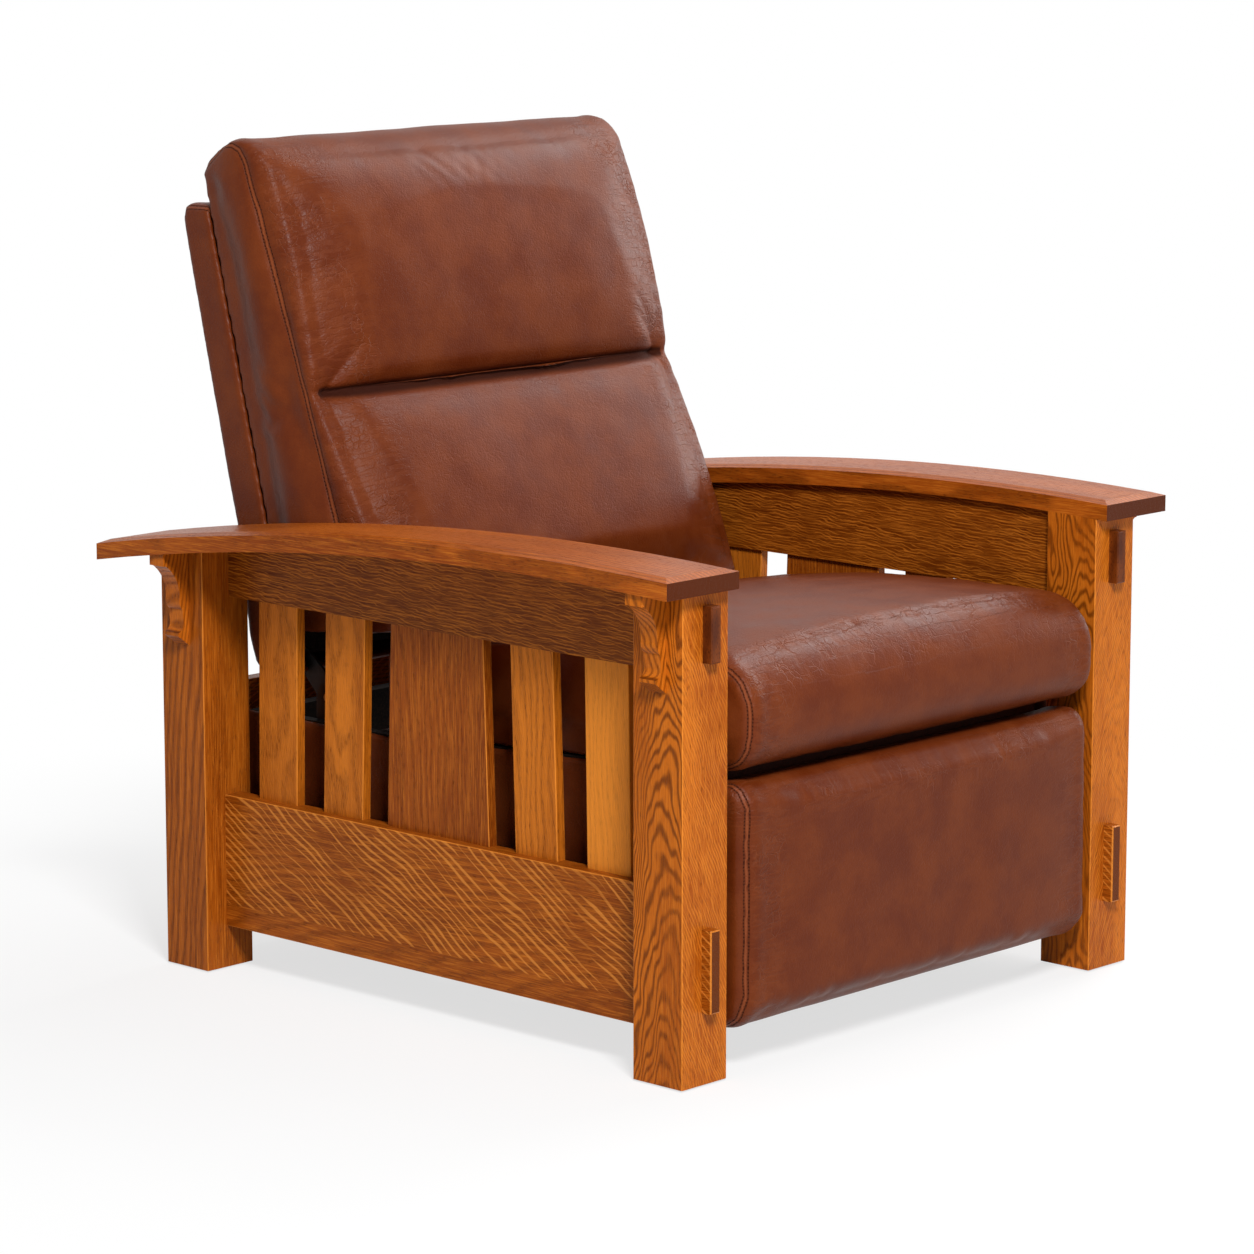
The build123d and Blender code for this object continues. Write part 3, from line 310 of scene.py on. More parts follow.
# Arms: bowed boards with a bevel all round the top, cut from wide flat-sawn stock, so that long lines
# run from end to end and open into points along the edges.
arm_oak = oak(
    "arm oak",
    along="Y",
    heart=(0.545, 0.0),
    spacing=0.0075,
    lines=0.4,
    brown=tone(128, 58, 16),
    amber=tone(162, 80, 24),
    sway=0.02,
    slope=0.02,
    arris_highlight=0,
    end=1.0,
)
dressed(arm_oak, "arm_left", "arm_right")

# Upper rails: the arched rails under the arms, tenoned into the legs. They are coloured darker than the rest,
# a painted shade for the shadow of the arms, and have a fine fleck that runs nearly level.
upper_rail_oak = oak(
    "upper rail oak",
    along="Y",
    heart=(0.1, 0.25),
    spacing=0.0035,
    lines=0.3,
    brown=tone(92, 42, 10),
    amber=tone(118, 58, 14),
    slope=0.02,
    rays={
        "shape": {"plane": "YZ", "lean": 6, "gap": 0.004, "bend": 2.0, "wave": 2.2, "fat": 0.2},
        "face": "X",
        "share": 0.42,
        "colour": oak_gold,
    },
)
dressed(upper_rail_oak, "upper_rail_left", "upper_rail_right")

# Lower rails: deep rails cut on the quarter, covered in bright rays that run down to the front.
# A plain strip is glued on below, and the tenons come right through the front legs.
lower_rail_oak = oak(
    "lower rail oak",
    along="Y",
    heart=(0.0, 0.15),
    spacing=0.0032,
    lines=0.28,
    brown=tone(122, 58, 14),
    amber=tone(148, 74, 20),
    rays={
        "shape": {"plane": "YZ", "lean": 30, "gap": 0.0092, "bend": 3.2, "wave": 0.8, "fat": 0.2},
        "face": "X",
        "share": 0.68,
        "lowest": 0.083,
        "colour": tone(212, 132, 56),
    },
)
dressed(lower_rail_oak, "lower_rail_left", "lower_rail_right")

# Slats: thin upright boards let into the rails above and below, with fine dark pores. The wide middle
# one is redder and plainer than the rest.
middle_oak = oak(
    "middle slat oak",
    along="Z",
    heart=(0.2, 0.1),
    spacing=0.0024,
    lines=0.2,
    brown=tone(116, 53, 14),
    amber=tone(138, 67, 19),
    slope=0.01,
)
dressed(middle_oak, "middle_slat_left", "middle_slat_right")
slat_oak = oak(
    "narrow slat oak",
    along="Z",
    heart=(0.3, 0.2),
    spacing=0.005,
    lines=0.25,
    brown=tone(154, 80, 20),
    amber=tone(194, 108, 32),
    sway=0.02,
    slope=0.03,
    rays={
        "shape": {"plane": "YZ", "lean": 80, "gap": 0.0035, "bend": 2.0, "wave": 2.0, "fat": 0.2},
        "face": "X",
        "share": 0.3,
        "colour": oak_gold,
    },
)
# the foremost slats, ahead of this y, are cut from paler wood
foremost_y = -0.27
tree = slat_oak.node_tree
shader = tree.nodes["Principled BSDF"]
wood = shader.inputs["Base Color"].links[0].from_socket
ahead = add(tree, "SeparateXYZ", {0: add(tree, "TexCoord").outputs["Object"]}).outputs[1]
pale = mixed(tree, 0.42, wood, tone(244, 152, 56))
coloured(tree, shader, maths(tree, "LESS_THAN", ahead, foremost_y), wood, pale)
dressed(slat_oak, "narrow_slats_left", "narrow_slats_right")

# Corbels: scrolled brackets under the arms, sawn from the same stock as the legs and glued to their
# outer faces.
corbel_oak = oak(
    "corbel oak",
    along="Z",
    heart=(0.43, 0.3),
    spacing=0.006,
    lines=0.45,
    sway=0.015,
    slope=0.2,
    arris_highlight=0,
)
dressed(corbel_oak, "front_corbels", "rear_corbels")

# Cross rails: the deep rail behind and the low stretcher, which tie the two side frames together. Both
# are cut on the quarter like the lower rails.
cross_oak = oak(
    "cross rail oak",
    along="X",
    heart=(0.2, 0.05),
    spacing=0.004,
    lines=0.35,
    rays={
        "shape": {"plane": "XZ", "lean": 24, "gap": 0.008, "bend": 4.0, "wave": 1.3, "fat": 0.25},
        "face": "Y",
        "share": 0.5,
    },
)
dressed(cross_oak, "rear_rail", "stretcher")

# Tenon ends: the blocks that show on the front of the front legs, where the stain has gone deep into
# the end grain.
end_oak, tree, shader, place = finish("end grain oak", tone(90, 42, 16), 0.45, Specular_IOR_Level=0.15)
fine = clouds(tree, stretched(tree, place, (0.0012, 0.0012, 0.004)), 1.0, 2.0)
broad = clouds(tree, stretched(tree, place, (0.02, 0.02, 0.05)), 1.0, 2.0)
brown = mixed(tree, rise(tree, broad, 0.3, 0.7), tone(78, 36, 12), tone(112, 56, 20))
coloured(tree, shader, rise(tree, fine, 0.5, 0.75), brown, tone(58, 24, 8))
relief(tree, shader, fine, 0.0002)
dressed(end_oak, "upper_tenon_left", "upper_tenon_right")

# Hidden timber: the poplar rails under the seat and the dowels of the arms, planed smooth and left
# without stain.
timber, tree, shader, place = finish("poplar", tone(196, 170, 124), 0.6)
grain = clouds(tree, stretched(tree, place, (0.004, 0.04, 0.004)), 1.0, 3.0)
streaks = clouds(tree, stretched(tree, place, (0.03, 0.2, 0.02)), 1.0, 2.0)
pale = mixed(tree, rise(tree, streaks, 0.35, 0.65), tone(206, 182, 138), tone(172, 146, 98))
coloured(tree, shader, rise(tree, grain, 0.45, 0.8), pale, tone(150, 120, 78))
relief(tree, shader, grain, 0.0002)
dressed(timber, "front_seat_rail", "rear_seat_rail", "arm_dowels")

# Boards that show in the gaps: the seat boards behind the slats, the frame of the back and the board of the
# footrest, coloured a brushed dull black as a painted shade for the dark in the gaps, so that the eye passes
# over them.
shade_black_boards, tree, shader, place = finish("dull black painted shade", tone(34, 26, 22), 0.8, Specular_IOR_Level=0.2)
brushed = clouds(tree, stretched(tree, place, (0.003, 0.06, 0.003)), 1.0, 3.0)
coloured(tree, shader, rise(tree, brushed, 0.4, 0.8), tone(30, 23, 19), tone(52, 38, 28))
relief(tree, shader, brushed, 0.0002)
dressed(shade_black_boards, "seat_side_boards", "rear_seat_board", "back_stiles", "back_rails", "footboard")

# Nose rail: the timber rail under the front of the cushion, wrapped in the same hide as the rest. It lies in
# the cushion's shade, so that only its colour and its grain show, and its hide is coloured darker than the
# cushion's as a painted shade for the dark gap under the nose.
rail_hide, tree, shader, place = finish("rail leather", tone(84, 38, 18), 0.5, Specular_IOR_Level=0.25)
pebble = clouds(tree, place, 520.0, 3.0, 0.6)
coloured(tree, shader, rise(tree, pebble, 0.4, 0.7), tone(86, 38, 18), tone(62, 26, 12))
relief(tree, shader, pebble, 0.0002)
dressed(rail_hide, "nose_rail")

# Tracks, plates, tubes and links: the steel parts that carry the seat, the back and the footrest,
# pressed and drilled, with a black powder coat.
black_steel, tree, shader, place = finish("black powder coat", tone(26, 26, 28), 0.45, Specular_IOR_Level=0.5)
pebble = clouds(tree, place, 2400.0, 2.0)
scuff = clouds(tree, place, 60.0, 4.0)
coloured(tree, shader, rise(tree, scuff, 0.55, 0.8), tone(24, 24, 26), tone(44, 44, 46))
tree.links.new(maths(tree, "MULTIPLY_ADD", scuff, 0.3, 0.3), shader.inputs["Roughness"])
relief(tree, shader, pebble, 0.0001)
dressed(
    black_steel,
    "seat_tracks",
    "seat_side_plates",
    "tie_tubes",
    "rear_lift_links",
    "torque_tube",
    "front_lift_links",
    "footrest_links",
    "footrest_angles",
    "stay_links",
    "back_brackets",
)

# Screws, bolts, rivets, pivots, springs and clips: steel with a bright coat of zinc, a little hazy
# from handling.
zinc, tree, shader, place = finish("zinc plate", tone(188, 190, 194), 0.3, Metallic=1.0)
haze = clouds(tree, place, 300.0, 3.0)
coloured(tree, shader, haze, tone(164, 166, 172), tone(206, 206, 204))
tree.links.new(maths(tree, "MULTIPLY_ADD", haze, 0.35, 0.15), shader.inputs["Roughness"])
dressed(
    zinc,
    "track_screws",
    "plate_bolts",
    "bracket_screws",
    "lift_pivots",
    "back_bolts",
    "rear_lift_rivets",
    "front_lift_rivets",
    "stay_rivets",
    "seat_springs",
    "spring_clips",
)

# Glides and bushes: moulded black nylon, under the legs, in the tracks and round the bolts of the
# back.
nylon, tree, shader, place = finish("black nylon", tone(30, 30, 32), 0.5)
grainy = clouds(tree, place, 900.0, 2.0)
coloured(tree, shader, grainy, tone(24, 24, 26), tone(40, 40, 42))
relief(tree, shader, grainy, 0.0001)
dressed(nylon, "glide_blocks", "leg_glides", "back_bushes")

# Deck pad and webs: the layer over the seat springs and the bands across the back frame, both in dark
# needled felt.
felt, tree, shader, place = finish("needled felt", tone(62, 58, 54), 0.95, Sheen_Weight=0.3)
fuzz = clouds(tree, place, 700.0, 4.0, 0.7)
coloured(tree, shader, rise(tree, fuzz, 0.3, 0.7), tone(48, 45, 42), tone(84, 80, 74))
relief(tree, shader, fuzz, 0.0008)
dressed(felt, "deck_pad", "back_webs")

# Seat cushion: foam in a leather cover, one wide panel from the nose over the top to the back, and a
# D-shaped panel sewn into each side with a double-stitched seam.


def kept(tree, name):
    """A number that a mesh keeps for each of its points."""
    return add(tree, "Attribute", attribute_name=name).outputs["Fac"]


# the hide: mottled dye over a pebbled grain, with creases where it is gathered and a row of sewing on each
# side of every seam. The creases and the ridge along each seam are coloured paler as a painted highlight, and
# the sewn lines and the waist groove nearly black as a painted shade.
hide_light = tone(105, 50, 22)
hide_dark = tone(90, 39, 16)
# nearly black, for the painted shade in the sewn lines and the waist groove
groove_shade_colour = tone(34, 12, 5)
sewing_off = 0.0031
stitch_length = 0.0022
hide, tree, shader, place = finish("saddle leather", hide_light, 0.4, Specular_IOR_Level=0.13)
seam, run, fold, waist = (kept(tree, name) for name in ("seam", "run", "fold", "waist"))
off = maths(tree, "ABSOLUTE", seam)
mottle = clouds(tree, place, 16.0, 5.0, 0.65)
specks = clouds(tree, place, 240.0, 3.0, 0.6)
pebble = add(tree, "TexVoronoi", {"Vector": place, "Scale": 560.0}, feature="SMOOTH_F1").outputs[0]
warp = add(tree, "TexNoise", {"Vector": place, "Scale": 60.0, "Detail": 3.0}).outputs["Color"]
bent = add(tree, "Mix", {0: 0.013, 4: place, 5: warp}, data_type="VECTOR").outputs[1]
net = add(tree, "TexVoronoi", {"Vector": bent, "Scale": 88.0}, feature="DISTANCE_TO_EDGE").outputs[0]
net = fall(tree, net, 0.0, 0.08)
net = maths(tree, "MULTIPLY", net, rise(tree, clouds(tree, place, 26.0, 2.0), 0.46, 0.62))
beside = add(tree, "CombineXYZ", {0: run, 1: off, 2: 0.0}).outputs[0]
gather = clouds(tree, stretched(tree, beside, (0.012, 0.05, 1.0)), 1.0, 3.0, 0.55)
gather = fall(tree, maths(tree, "ABSOLUTE", maths(tree, "SUBTRACT", gather, 0.5)), 0.0, 0.07)
crease_and_glint = maths(tree, "MAXIMUM", net, maths(tree, "MULTIPLY", gather, 0.5))
crease_and_glint = maths(tree, "MAXIMUM", maths(tree, "MULTIPLY", crease_and_glint, fold), maths(tree, "MULTIPLY", net, 0.12))

colour = mixed(tree, rise(tree, mottle, 0.3, 0.7), hide_dark, hide_light)
colour = mixed(tree, maths(tree, "MULTIPLY", rise(tree, specks, 0.5, 0.8), 0.22), colour, hide_dark)
# painted highlight: the creases are coloured paler, as if they caught the light
colour = mixed(tree, maths(tree, "MULTIPLY", crease_and_glint, 0.22), colour, tone(148, 84, 54))
thread = fall(tree, maths(tree, "ABSOLUTE", maths(tree, "SUBTRACT", off, sewing_off)), 0.0003, 0.0012)
stitch = rise(tree, maths(tree, "PINGPONG", run, stitch_length), 0.0005, 0.0012)
stitch = maths(tree, "MULTIPLY", thread, stitch)
ridge = fall(tree, off, 0.0005, 0.0022)
shaded_groove = maths(tree, "MAXIMUM", thread, fall(tree, waist, 0.003, 0.009))
# painted highlight: the ridge along each seam is coloured paler, as if it caught the light
colour = mixed(tree, maths(tree, "MULTIPLY", ridge, 0.35), colour, tone(150, 84, 52))
# painted shade: the sewn lines and the waist groove are coloured nearly black
colour = mixed(tree, maths(tree, "MULTIPLY", shaded_groove, 0.82), colour, groove_shade_colour)
coloured(tree, shader, maths(tree, "MULTIPLY", stitch, 0.25), colour, tone(122, 66, 38))
rough = maths(tree, "MULTIPLY_ADD", mottle, 0.24, 0.3)
rough = maths(tree, "MULTIPLY_ADD", shaded_groove, 0.4, rough)
tree.links.new(maths(tree, "MULTIPLY_ADD", crease_and_glint, 0.1, rough), shader.inputs["Roughness"])
height = maths(tree, "MULTIPLY_ADD", pebble, -0.32, maths(tree, "MULTIPLY", crease_and_glint, -0.8))
height = maths(tree, "MULTIPLY_ADD", specks, 0.2, height)
height = maths(tree, "MULTIPLY_ADD", thread, -0.8, height)
height = maths(tree, "MULTIPLY_ADD", stitch, 0.5, height)
relief(tree, shader, height, 0.0008)


def points_of(mesh):
    """A mesh's points, and its normals, as rows of numbers."""
    count = len(mesh.vertices)
    spots, normals = numpy.empty(count * 3), numpy.empty(count * 3)
    mesh.vertices.foreach_get("co", spots)
    mesh.vertex_normals.foreach_get("vector", normals)
    return spots.reshape(-1, 3), normals.reshape(-1, 3)


def put_back(mesh, spots):
    """Give a mesh its moved points."""
    mesh.vertices.foreach_set("co", spots.ravel())
    mesh.update()


def applied(piece):
    """Make a piece's modifiers a fixed part of its mesh."""
    graph = bpy.context.evaluated_depsgraph_get()
    old = piece.data
    piece.data = bpy.data.meshes.new_from_object(piece.evaluated_get(graph))
    piece.modifiers.clear()
    bpy.data.meshes.remove(old)


def covered(name, node, voxel, smoothing=4):
    """A new piece with the outline of a soft solid, as an even mesh whose edges are softened."""
    piece = bpy.data.objects.new(name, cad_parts[node].data.copy())
    bpy.context.scene.collection.objects.link(piece)
    piece.data.materials.clear()
    shape = bmesh.new()
    shape.from_mesh(piece.data)
    bmesh.ops.remove_doubles(shape, verts=shape.verts, dist=0.00001)
    shape.to_mesh(piece.data)
    shape.free()
    remesh = piece.modifiers.new("voxels", "REMESH")
    remesh.mode, remesh.voxel_size = "VOXEL", voxel
    soften = piece.modifiers.new("soften", "SMOOTH")
    soften.factor, soften.iterations = 0.5, smoothing
    applied(piece)
    piece.data.shade_smooth()
    return piece


def blown(piece, room, shrink=0.002):
    """Let a cushion swell outwards as cloth under pressure from just inside its outline, no further
    than room(spots, normals) allows, then make its mesh finer."""
    last_frame = 20
    spots, normals = points_of(piece.data)
    limit = room(spots, normals)
    put_back(piece.data, spots - normals * numpy.minimum(shrink, limit)[:, None])
    start, _ = points_of(piece.data)
    cloth = piece.modifiers.new("cloth", "CLOTH")
    cloth.settings.quality = 3
    cloth.settings.mass = 0.4
    cloth.settings.tension_stiffness = 15
    cloth.settings.compression_stiffness = 15
    cloth.settings.bending_stiffness = 0.6
    cloth.settings.use_pressure = True
    cloth.settings.uniform_pressure_force = 4.0
    cloth.settings.effector_weights.gravity = 0
    scene = bpy.context.scene
    for step in range(1, last_frame + 1):
        scene.frame_set(step)
    graph = bpy.context.evaluated_depsgraph_get()
    grown = piece.evaluated_get(graph).to_mesh()
    moved = numpy.empty(len(grown.vertices) * 3)
    grown.vertices.foreach_get("co", moved)
    piece.modifiers.clear()
    scene.frame_set(1)
    push = ((moved.reshape(-1, 3) - start) * normals).sum(axis=1)
    put_back(piece.data, start + normals * numpy.clip(push, 0, limit)[:, None])
    soften = piece.modifiers.new("soften", "SMOOTH")
    soften.factor, soften.iterations = 0.5, 3
    detail = piece.modifiers.new("finer", "SUBSURF")
    detail.levels = detail.render_levels = 1
    applied(piece)
    piece.data.shade_smooth()


def evenly(route, gap):
    """A route of straight runs, cut into short even steps."""
    steps = []
    for start, end in zip(route, route[1:]):
        start, end = Vector(start), Vector(end)
        count = max(1, round((end - start).length / gap))
        steps += [start.lerp(end, step / count) for step in range(count)]
    return steps + [Vector(route[-1])]


def keeps(piece, **values):
    """Keep numbers on a mesh, one for each of its points, for its material to read."""
    for label, numbers in values.items():
        numbers = numpy.broadcast_to(numbers, len(piece.data.vertices)).astype(numpy.float32)
        piece.data.attributes.new(label, "FLOAT", "POINT").data.foreach_set("value", numbers)


def from_seams(piece, outline, x):
    """How far each point lies from the nearest side seam, less than nothing on the side panel, and how
    far along that seam. The outline goes up the front of the piece and over its top."""
    seam_step = 0.003
    shape = bmesh.new()
    shape.from_mesh(piece.data)
    skin = BVHTree.FromBMesh(shape)
    shape.free()
    rows = []
    for way in (-1, 1):
        route = evenly([(x * way, y, z) for y, z in outline], seam_step)
        placed = [skin.find_nearest(spot)[0] for spot in route]
        gone = 0.0
        for at, spot in enumerate(placed):
            before, after = placed[max(at - 1, 0)], placed[min(at + 1, len(placed) - 1)]
            gone += (spot - before).length
            step = (after - before).normalized()
            rows.append((spot, gone, Vector((-way, -step.z, step.y))))
    tree = KDTree(len(rows))
    for at, (spot, _, _) in enumerate(rows):
        tree.insert(spot, at)
    tree.balance()
    seam, run = numpy.empty(len(piece.data.vertices)), numpy.empty(len(piece.data.vertices))
    for at, point in enumerate(piece.data.vertices):
        found, index, gap = tree.find(point.co)
        seam[at] = gap if (point.co - found).dot(rows[index][2]) > 0 else -gap
        run[at] = rows[index][1]
    return seam, run


def bell(values, middle, width):
    """1 at the middle, falling to nothing on both sides of it, on rows of numbers."""
    return numpy.exp(-(((values - middle) / width) ** 2))


def drawn_in(piece, seam, run, depth=0.0022, puff=0.0016, pucker=0.0011):
    """Draw the cover in along its side seams, puff it up beside them, and pucker it across them."""
    groove, gathered = 0.005, 0.018
    pucker_width, pucker_length = 0.017, 0.05
    spots, normals = points_of(piece.data)
    dip = puff * bell(seam, 3 * groove, 2 * groove) - depth * bell(seam, 0, groove)
    beside = bell(seam, gathered, gathered)
    for at in numpy.flatnonzero(beside > 0.02):
        place = Vector((run[at] / pucker_width, seam[at] / pucker_length, spots[at, 0] * 9))
        dip[at] += pucker * beside[at] * noise.noise(place)
    put_back(piece.data, spots + normals * dip[:, None])


def rumpled(piece, height, size, seed):
    """Low, broad unevenness, as of leather over foam."""
    spots, normals = points_of(piece.data)
    shift = numpy.empty(len(spots))
    for at, spot in enumerate(spots):
        shift[at] = noise.fractal(Vector(spot) / size + Vector((seed, seed, seed)), 0.7, 2.2, 2)
    put_back(piece.data, spots + normals * (height * shift)[:, None])


def step_up(values, low, high):
    """A smooth step from 0 at low to 1 at high, on rows of numbers."""
    share = numpy.clip((values - low) / (high - low), 0, 1)
    return share * share * (3 - 2 * share)


def band(values, start, full, fade, end):
    """1 from full to fade, and 0 before start and past end, on rows of numbers."""
    return step_up(values, start, full) * (1 - step_up(values, fade, end))


def facings(normals):
    """How far each point faces forwards, backwards, upwards and downwards, from 0 to 1."""
    ahead, up = -normals[:, 1], normals[:, 2]
    return (numpy.clip(way, 0, 1) for way in (ahead, -ahead, up, -up))


def crown(spots, half):
    """1 in the middle of a pad's width, falling to 0 at its two sides."""
    return numpy.clip(1 - (spots[:, 0] / half) ** 4, 0, 1)


# how far a cover may move even where it lies flat on its frame
least_room = 0.0002


def seat_room(spots, normals):
    """The seat swells on top and at the nose, and stays flat below and behind."""
    ahead, behind, up, down = facings(normals)
    beside = numpy.abs(normals[:, 0])
    below = down * step_up(spots[:, 1], -0.46, -0.40)
    middle = crown(spots, 0.32)
    room = (0.003 + 0.003 * middle) * up + (0.006 + 0.007 * middle) * ahead + 0.006 * beside + 0.002
    return room * (1 - numpy.clip(1.4 * below + 1.2 * behind, 0, 1)) + least_room


seat_seam_x = 0.324
seat = covered("seat_pad", "seat_cushion", voxel=0.006)
blown(seat, seat_room)
rumpled(seat, height=0.0011, size=0.13, seed=3.0)
seat_side = [
    (-0.448, 0.348),
    (-0.466, 0.358),
    (-0.480, 0.378),
    (-0.487, 0.408),
    (-0.484, 0.438),
    (-0.470, 0.466),
    (-0.445, 0.481),
    (-0.30, 0.489),
    (-0.166, 0.484),
    (-0.03, 0.466),
    (0.113, 0.433),
]
seam, run = from_seams(seat, seat_side, seat_seam_x)
drawn_in(seat, seam, run)
spots, normals = points_of(seat.data)
nose = bell(spots[:, 1], -0.445, 0.035) * step_up(normals[:, 2], 0.1, 0.5)
edge = band(seam, 0.002, 0.01, 0.03, 0.09)
keeps(seat, seam=seam, run=run, fold=numpy.maximum(nose, 0.9 * edge), waist=1.0)
seat.data.materials.append(hide)
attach(seat, "seat_unit")
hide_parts("seat_cushion")

# Back cushion: a head pad and a lumbar pad under one cover, drawn in to the frame along the waist, with
# a side panel sewn in at each side.
waist_z = 0.728
pad_height = 0.29
waist_groove, waist_roll = 0.011, 0.006
back_seam_x = 0.321


def back_room(spots, normals):
    """Both pads swell in their middles, and stay flat where they lie on their frame."""
    ahead, behind, up, _ = facings(normals)
    beside = numpy.abs(normals[:, 0])
    foot = numpy.clip((0.50 - spots[:, 2]) / 0.05, 0, 1)
    middle = crown(spots, 0.315)
    tall = numpy.sqrt(numpy.abs(numpy.sin((spots[:, 2] - waist_z) / pad_height * pi)))
    room = (0.008 + 0.013 * middle * tall) * ahead + 0.009 * up + 0.011 * beside + 0.003
    return room * (1 - numpy.clip(1.4 * behind + foot, 0, 1)) + least_room


back = covered("back_pad", "back_cushion", voxel=0.006, smoothing=7)
blown(back, back_room)
rumpled(back, height=0.0011, size=0.12, seed=11.0)
# the waist is pulled in deep, and the pads roll over into it
spots, normals = points_of(back.data)
front = step_up(-normals[:, 1], 0.1, 0.4) * (spots[:, 1] < 0.30)
pull = waist_groove * bell(spots[:, 2], waist_z, 0.006) + waist_roll * bell(spots[:, 2], waist_z, 0.02)
spots[:, 1] += pull * front * (1 - step_up(numpy.abs(spots[:, 0]), 0.285, 0.316))
# the stuffing fills the cover out to its side panels and up to its top
spots[:, 0] += 0.006 * numpy.sign(spots[:, 0]) * step_up(numpy.abs(normals[:, 0]), 0.1, 0.6)
spots[:, 2] += 0.004 * step_up(spots[:, 2], 0.95, 1.01)
put_back(back.data, spots)
back_side = [
    (0.157, 0.438),
    (0.191, 0.577),
    (0.226, 0.673),
    (0.246, 0.728),
    (0.268, 0.792),
    (0.297, 0.876),
    (0.328, 0.960),
    (0.347, 1.006),
    (0.358, 1.020),
    (0.372, 1.025),
    (0.387, 1.024),
    (0.426, 0.993),
]
seam, run = from_seams(back, back_side, back_seam_x)
drawn_in(back, seam, run)
# how far each point lies from the waist, which ends at the side panels and behind, for the painted shade in
# the waist groove
spots, _ = points_of(back.data)
past_front = 0.1 * (1 - front) + 0.05 * step_up(numpy.abs(spots[:, 0]), 0.309, 0.319)
from_waist = numpy.hypot(spots[:, 2] - waist_z, past_front)
edge = band(seam, 0.002, 0.02, 0.07, 0.13)
fold = numpy.maximum(0.85 * edge, 0.4 * bell(from_waist, 0, 0.03))
keeps(back, seam=seam, run=run, fold=fold, waist=from_waist)
back.data.materials.append(hide)
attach(back, "back_unit")
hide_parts("back_cushion")

# Outer back: a padded leather shell behind the cushion, pulled over the frame and a little lower than
# the cushion. Its cover lies flat, so it is only softened and creased.
shell_seam_x = 0.324
shell = covered("outer_back_cover", "outer_back", voxel=0.0045, smoothing=9)
rumpled(shell, height=0.0009, size=0.13, seed=5.0)
shell_side = [(0.42, 0.949), (0.462, 0.947), (0.469, 0.93), (0.378, 0.554), (0.357, 0.412), (0.344, 0.376)]
seam, run = from_seams(shell, shell_side, shell_seam_x)
drawn_in(shell, seam, run, depth=0.0015, puff=0.001, pucker=0.0006)
keeps(shell, seam=seam, run=run, fold=0.5 * band(seam, 0.002, 0.02, 0.05, 0.1), waist=1.0)
shell.data.materials.append(hide)
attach(shell, "back_unit")
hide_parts("outer_back")

# Footrest: a thin pad of foam and leather pulled over its board, rounded above and rolled under below,
# with a side panel sewn in at each end.


def footrest_room(spots, normals):
    """The pad swells forwards, and stays flat on its board."""
    ahead, behind, up, _ = facings(normals)
    room = (0.003 + 0.007 * crown(spots, 0.315)) * ahead + 0.006 * up + 0.001
    return room * (1 - numpy.clip(1.4 * behind, 0, 1)) + least_room


footrest_seam_x = 0.317
footrest = covered("footrest_cover", "footrest_pad", voxel=0.0055)
blown(footrest, footrest_room, shrink=0.001)
rumpled(footrest, height=0.0009, size=0.14, seed=8.0)
footrest_side = [
    (-0.420, 0.050),
    (-0.446, 0.053),
    (-0.464, 0.065),
    (-0.476, 0.095),
    (-0.477, 0.20),
    (-0.477, 0.315),
    (-0.466, 0.335),
    (-0.45, 0.341),
    (-0.418, 0.338),
]
seam, run = from_seams(footrest, footrest_side, footrest_seam_x)
drawn_in(footrest, seam, run, depth=0.0018, puff=0.0012, pucker=0.0008)
spots, _ = points_of(footrest.data)
roll = bell(spots[:, 2], 0.315, 0.03)
edge = band(seam, 0.002, 0.01, 0.03, 0.09)
keeps(footrest, seam=seam, run=run, fold=numpy.maximum(0.7 * roll, 0.8 * edge), waist=1.0)
footrest.data.materials.append(hide)
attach(footrest, "footrest")
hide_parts("footrest_pad")

# Seat side covers: leather pulled over thin padding on the outside of the seat boards, and lapped over
# the ends of the nose rail.
padding, lap = 0.0022, 0.032
covers = covered("seat_side_leather", "seat_side_covers", voxel=0.0035, smoothing=6)
spots, normals = points_of(covers.data)
outwards = numpy.clip(normals[:, 0] * numpy.sign(spots[:, 0]), 0, 1)
spots += normals * (padding * outwards)[:, None]
spots[:, 1] -= lap * step_up(-spots[:, 1], 0.345, 0.374)
put_back(covers.data, spots)
rumpled(covers, height=0.0016, size=0.05, seed=2.0)
keeps(covers, seam=1.0, run=0.0, fold=0.5, waist=1.0)
covers.data.materials.append(hide)
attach(covers, "seat_unit")
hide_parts("seat_side_covers")

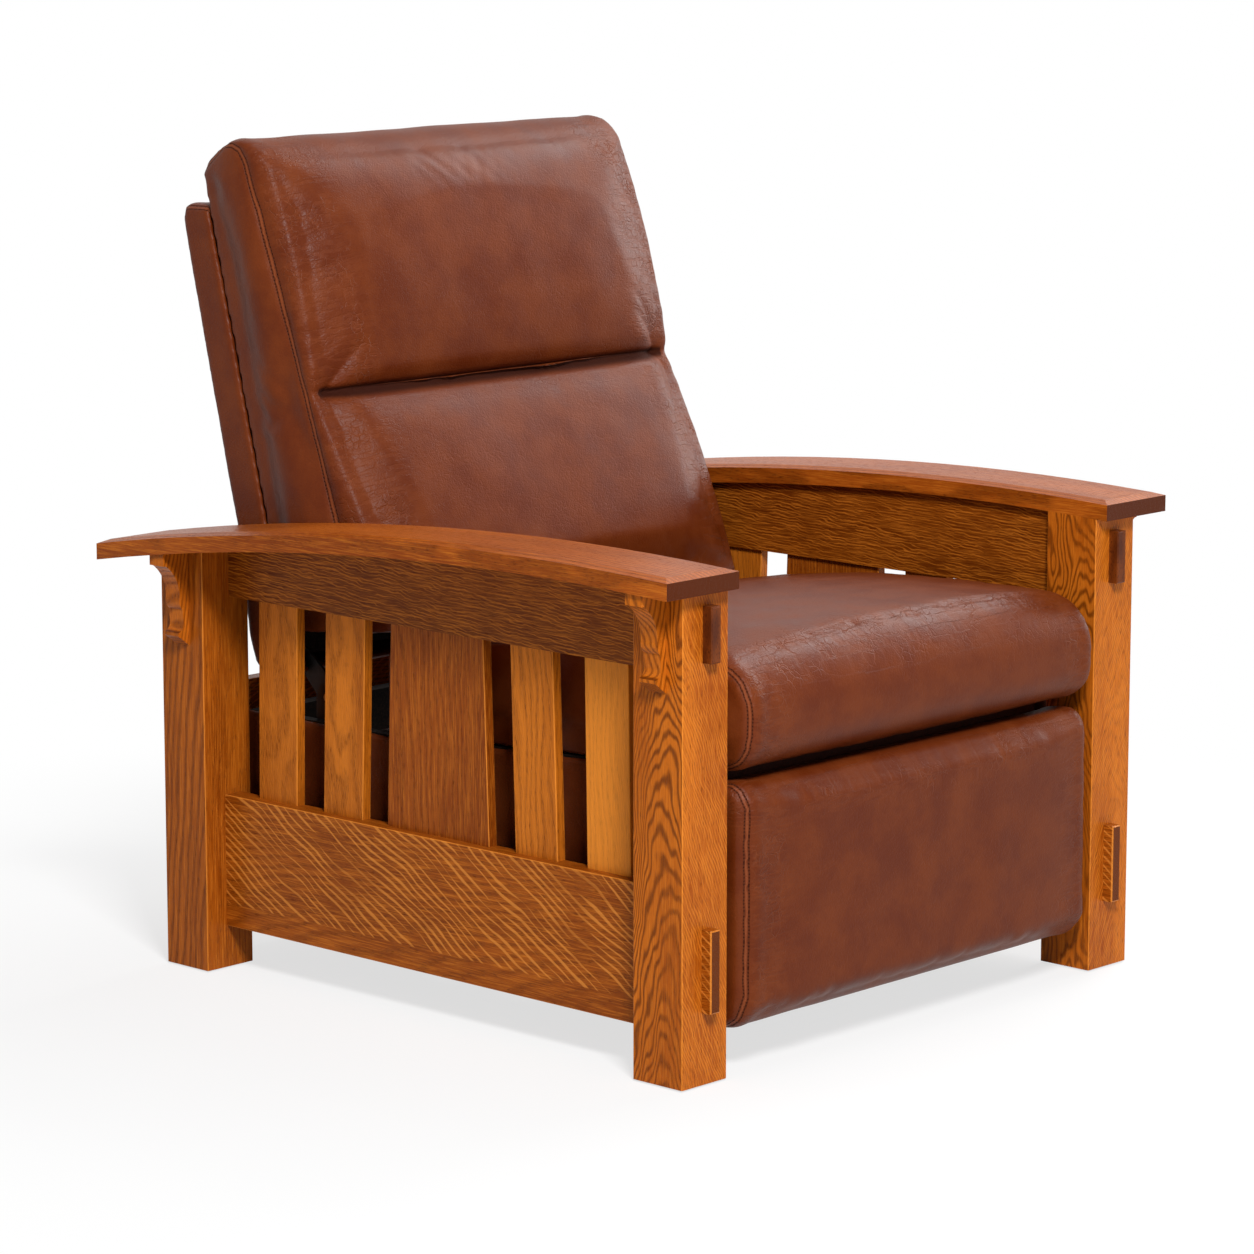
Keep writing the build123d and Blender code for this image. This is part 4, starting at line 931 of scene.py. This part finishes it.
# Floor: a plain pale floor. Near the chair it keeps a soft shadow, and further out it glows evenly to
# run into the white around it.
floor_half = 60.0
shadow_near, shadow_far = 0.6, 1.6
floor_shape = bmesh.new()
bmesh.ops.create_grid(floor_shape, x_segments=1, y_segments=1, size=floor_half)
floor_mesh = bpy.data.meshes.new("floor")
floor_shape.to_mesh(floor_mesh)
floor_shape.free()
floor = bpy.data.objects.new("floor", floor_mesh)
bpy.context.scene.collection.objects.link(floor)


def seen_rays(tree):
    """1 on the camera's rays and on those that mirror or pass on what it sees, 0 on scattered light."""
    light = add(tree, "LightPath").outputs
    passed = maths(tree, "MAXIMUM", light["Is Glossy Ray"], light["Is Transmission Ray"])
    return maths(tree, "MAXIMUM", light["Is Camera Ray"], passed)


paint, tree, shader, place = finish("floor paint", tone(236, 236, 236), 0.9, Specular_IOR_Level=0.0)
away = add(tree, "VectorMath", {0: place}, operation="LENGTH").outputs["Value"]
white = add(tree, "Emission", {"Color": (1, 1, 1, 1), "Strength": 1.0}).outputs[0]
glow = maths(tree, "MULTIPLY_ADD", rise(tree, away, shadow_near, shadow_far), 0.3, 0.7)
share = maths(tree, "MULTIPLY", seen_rays(tree), glow)
both = add(tree, "MixShader", {0: share, 1: shader.outputs[0], 2: white}).outputs[0]
tree.links.new(both, tree.nodes["Material Output"].inputs["Surface"])
floor_mesh.materials.append(paint)

# Lamps: a soft key lamp high in front, on the chair's right, a low and a high one on its left, and a
# pale world that lights the shades and shows white.


def lamp(name, place, aim, size, power):
    """A square soft lamp turned to a point."""
    data = bpy.data.lights.new(name, "AREA")
    data.size, data.energy = size, power
    made = bpy.data.objects.new(name, data)
    bpy.context.scene.collection.objects.link(made)
    made.location = place
    made.rotation_euler = (Vector(aim) - Vector(place)).to_track_quat("-Z", "Y").to_euler()


lamp("key", (-2.3, -3.1, 3.6), (0, 0, 0.5), size=1.0, power=255)
lamp("side", (3.2, -0.3, 1.6), (0, 0, 0.7), size=1.5, power=44)
lamp("high side", (2.5, 0.2, 3.0), (0, -0.1, 0.6), size=1.4, power=50)
world = bpy.data.worlds.new("world")
bpy.context.scene.world = world
world.use_nodes = True
# how bright the world is to scattered light and to the camera
dim, bright = 0.22, 1.0
tree = world.node_tree
ground = tree.nodes["Background"]
ground.inputs["Color"].default_value = (1, 1, 1, 1)
strength = maths(tree, "MULTIPLY_ADD", seen_rays(tree), bright - dim, dim)
tree.links.new(strength, ground.inputs["Strength"])
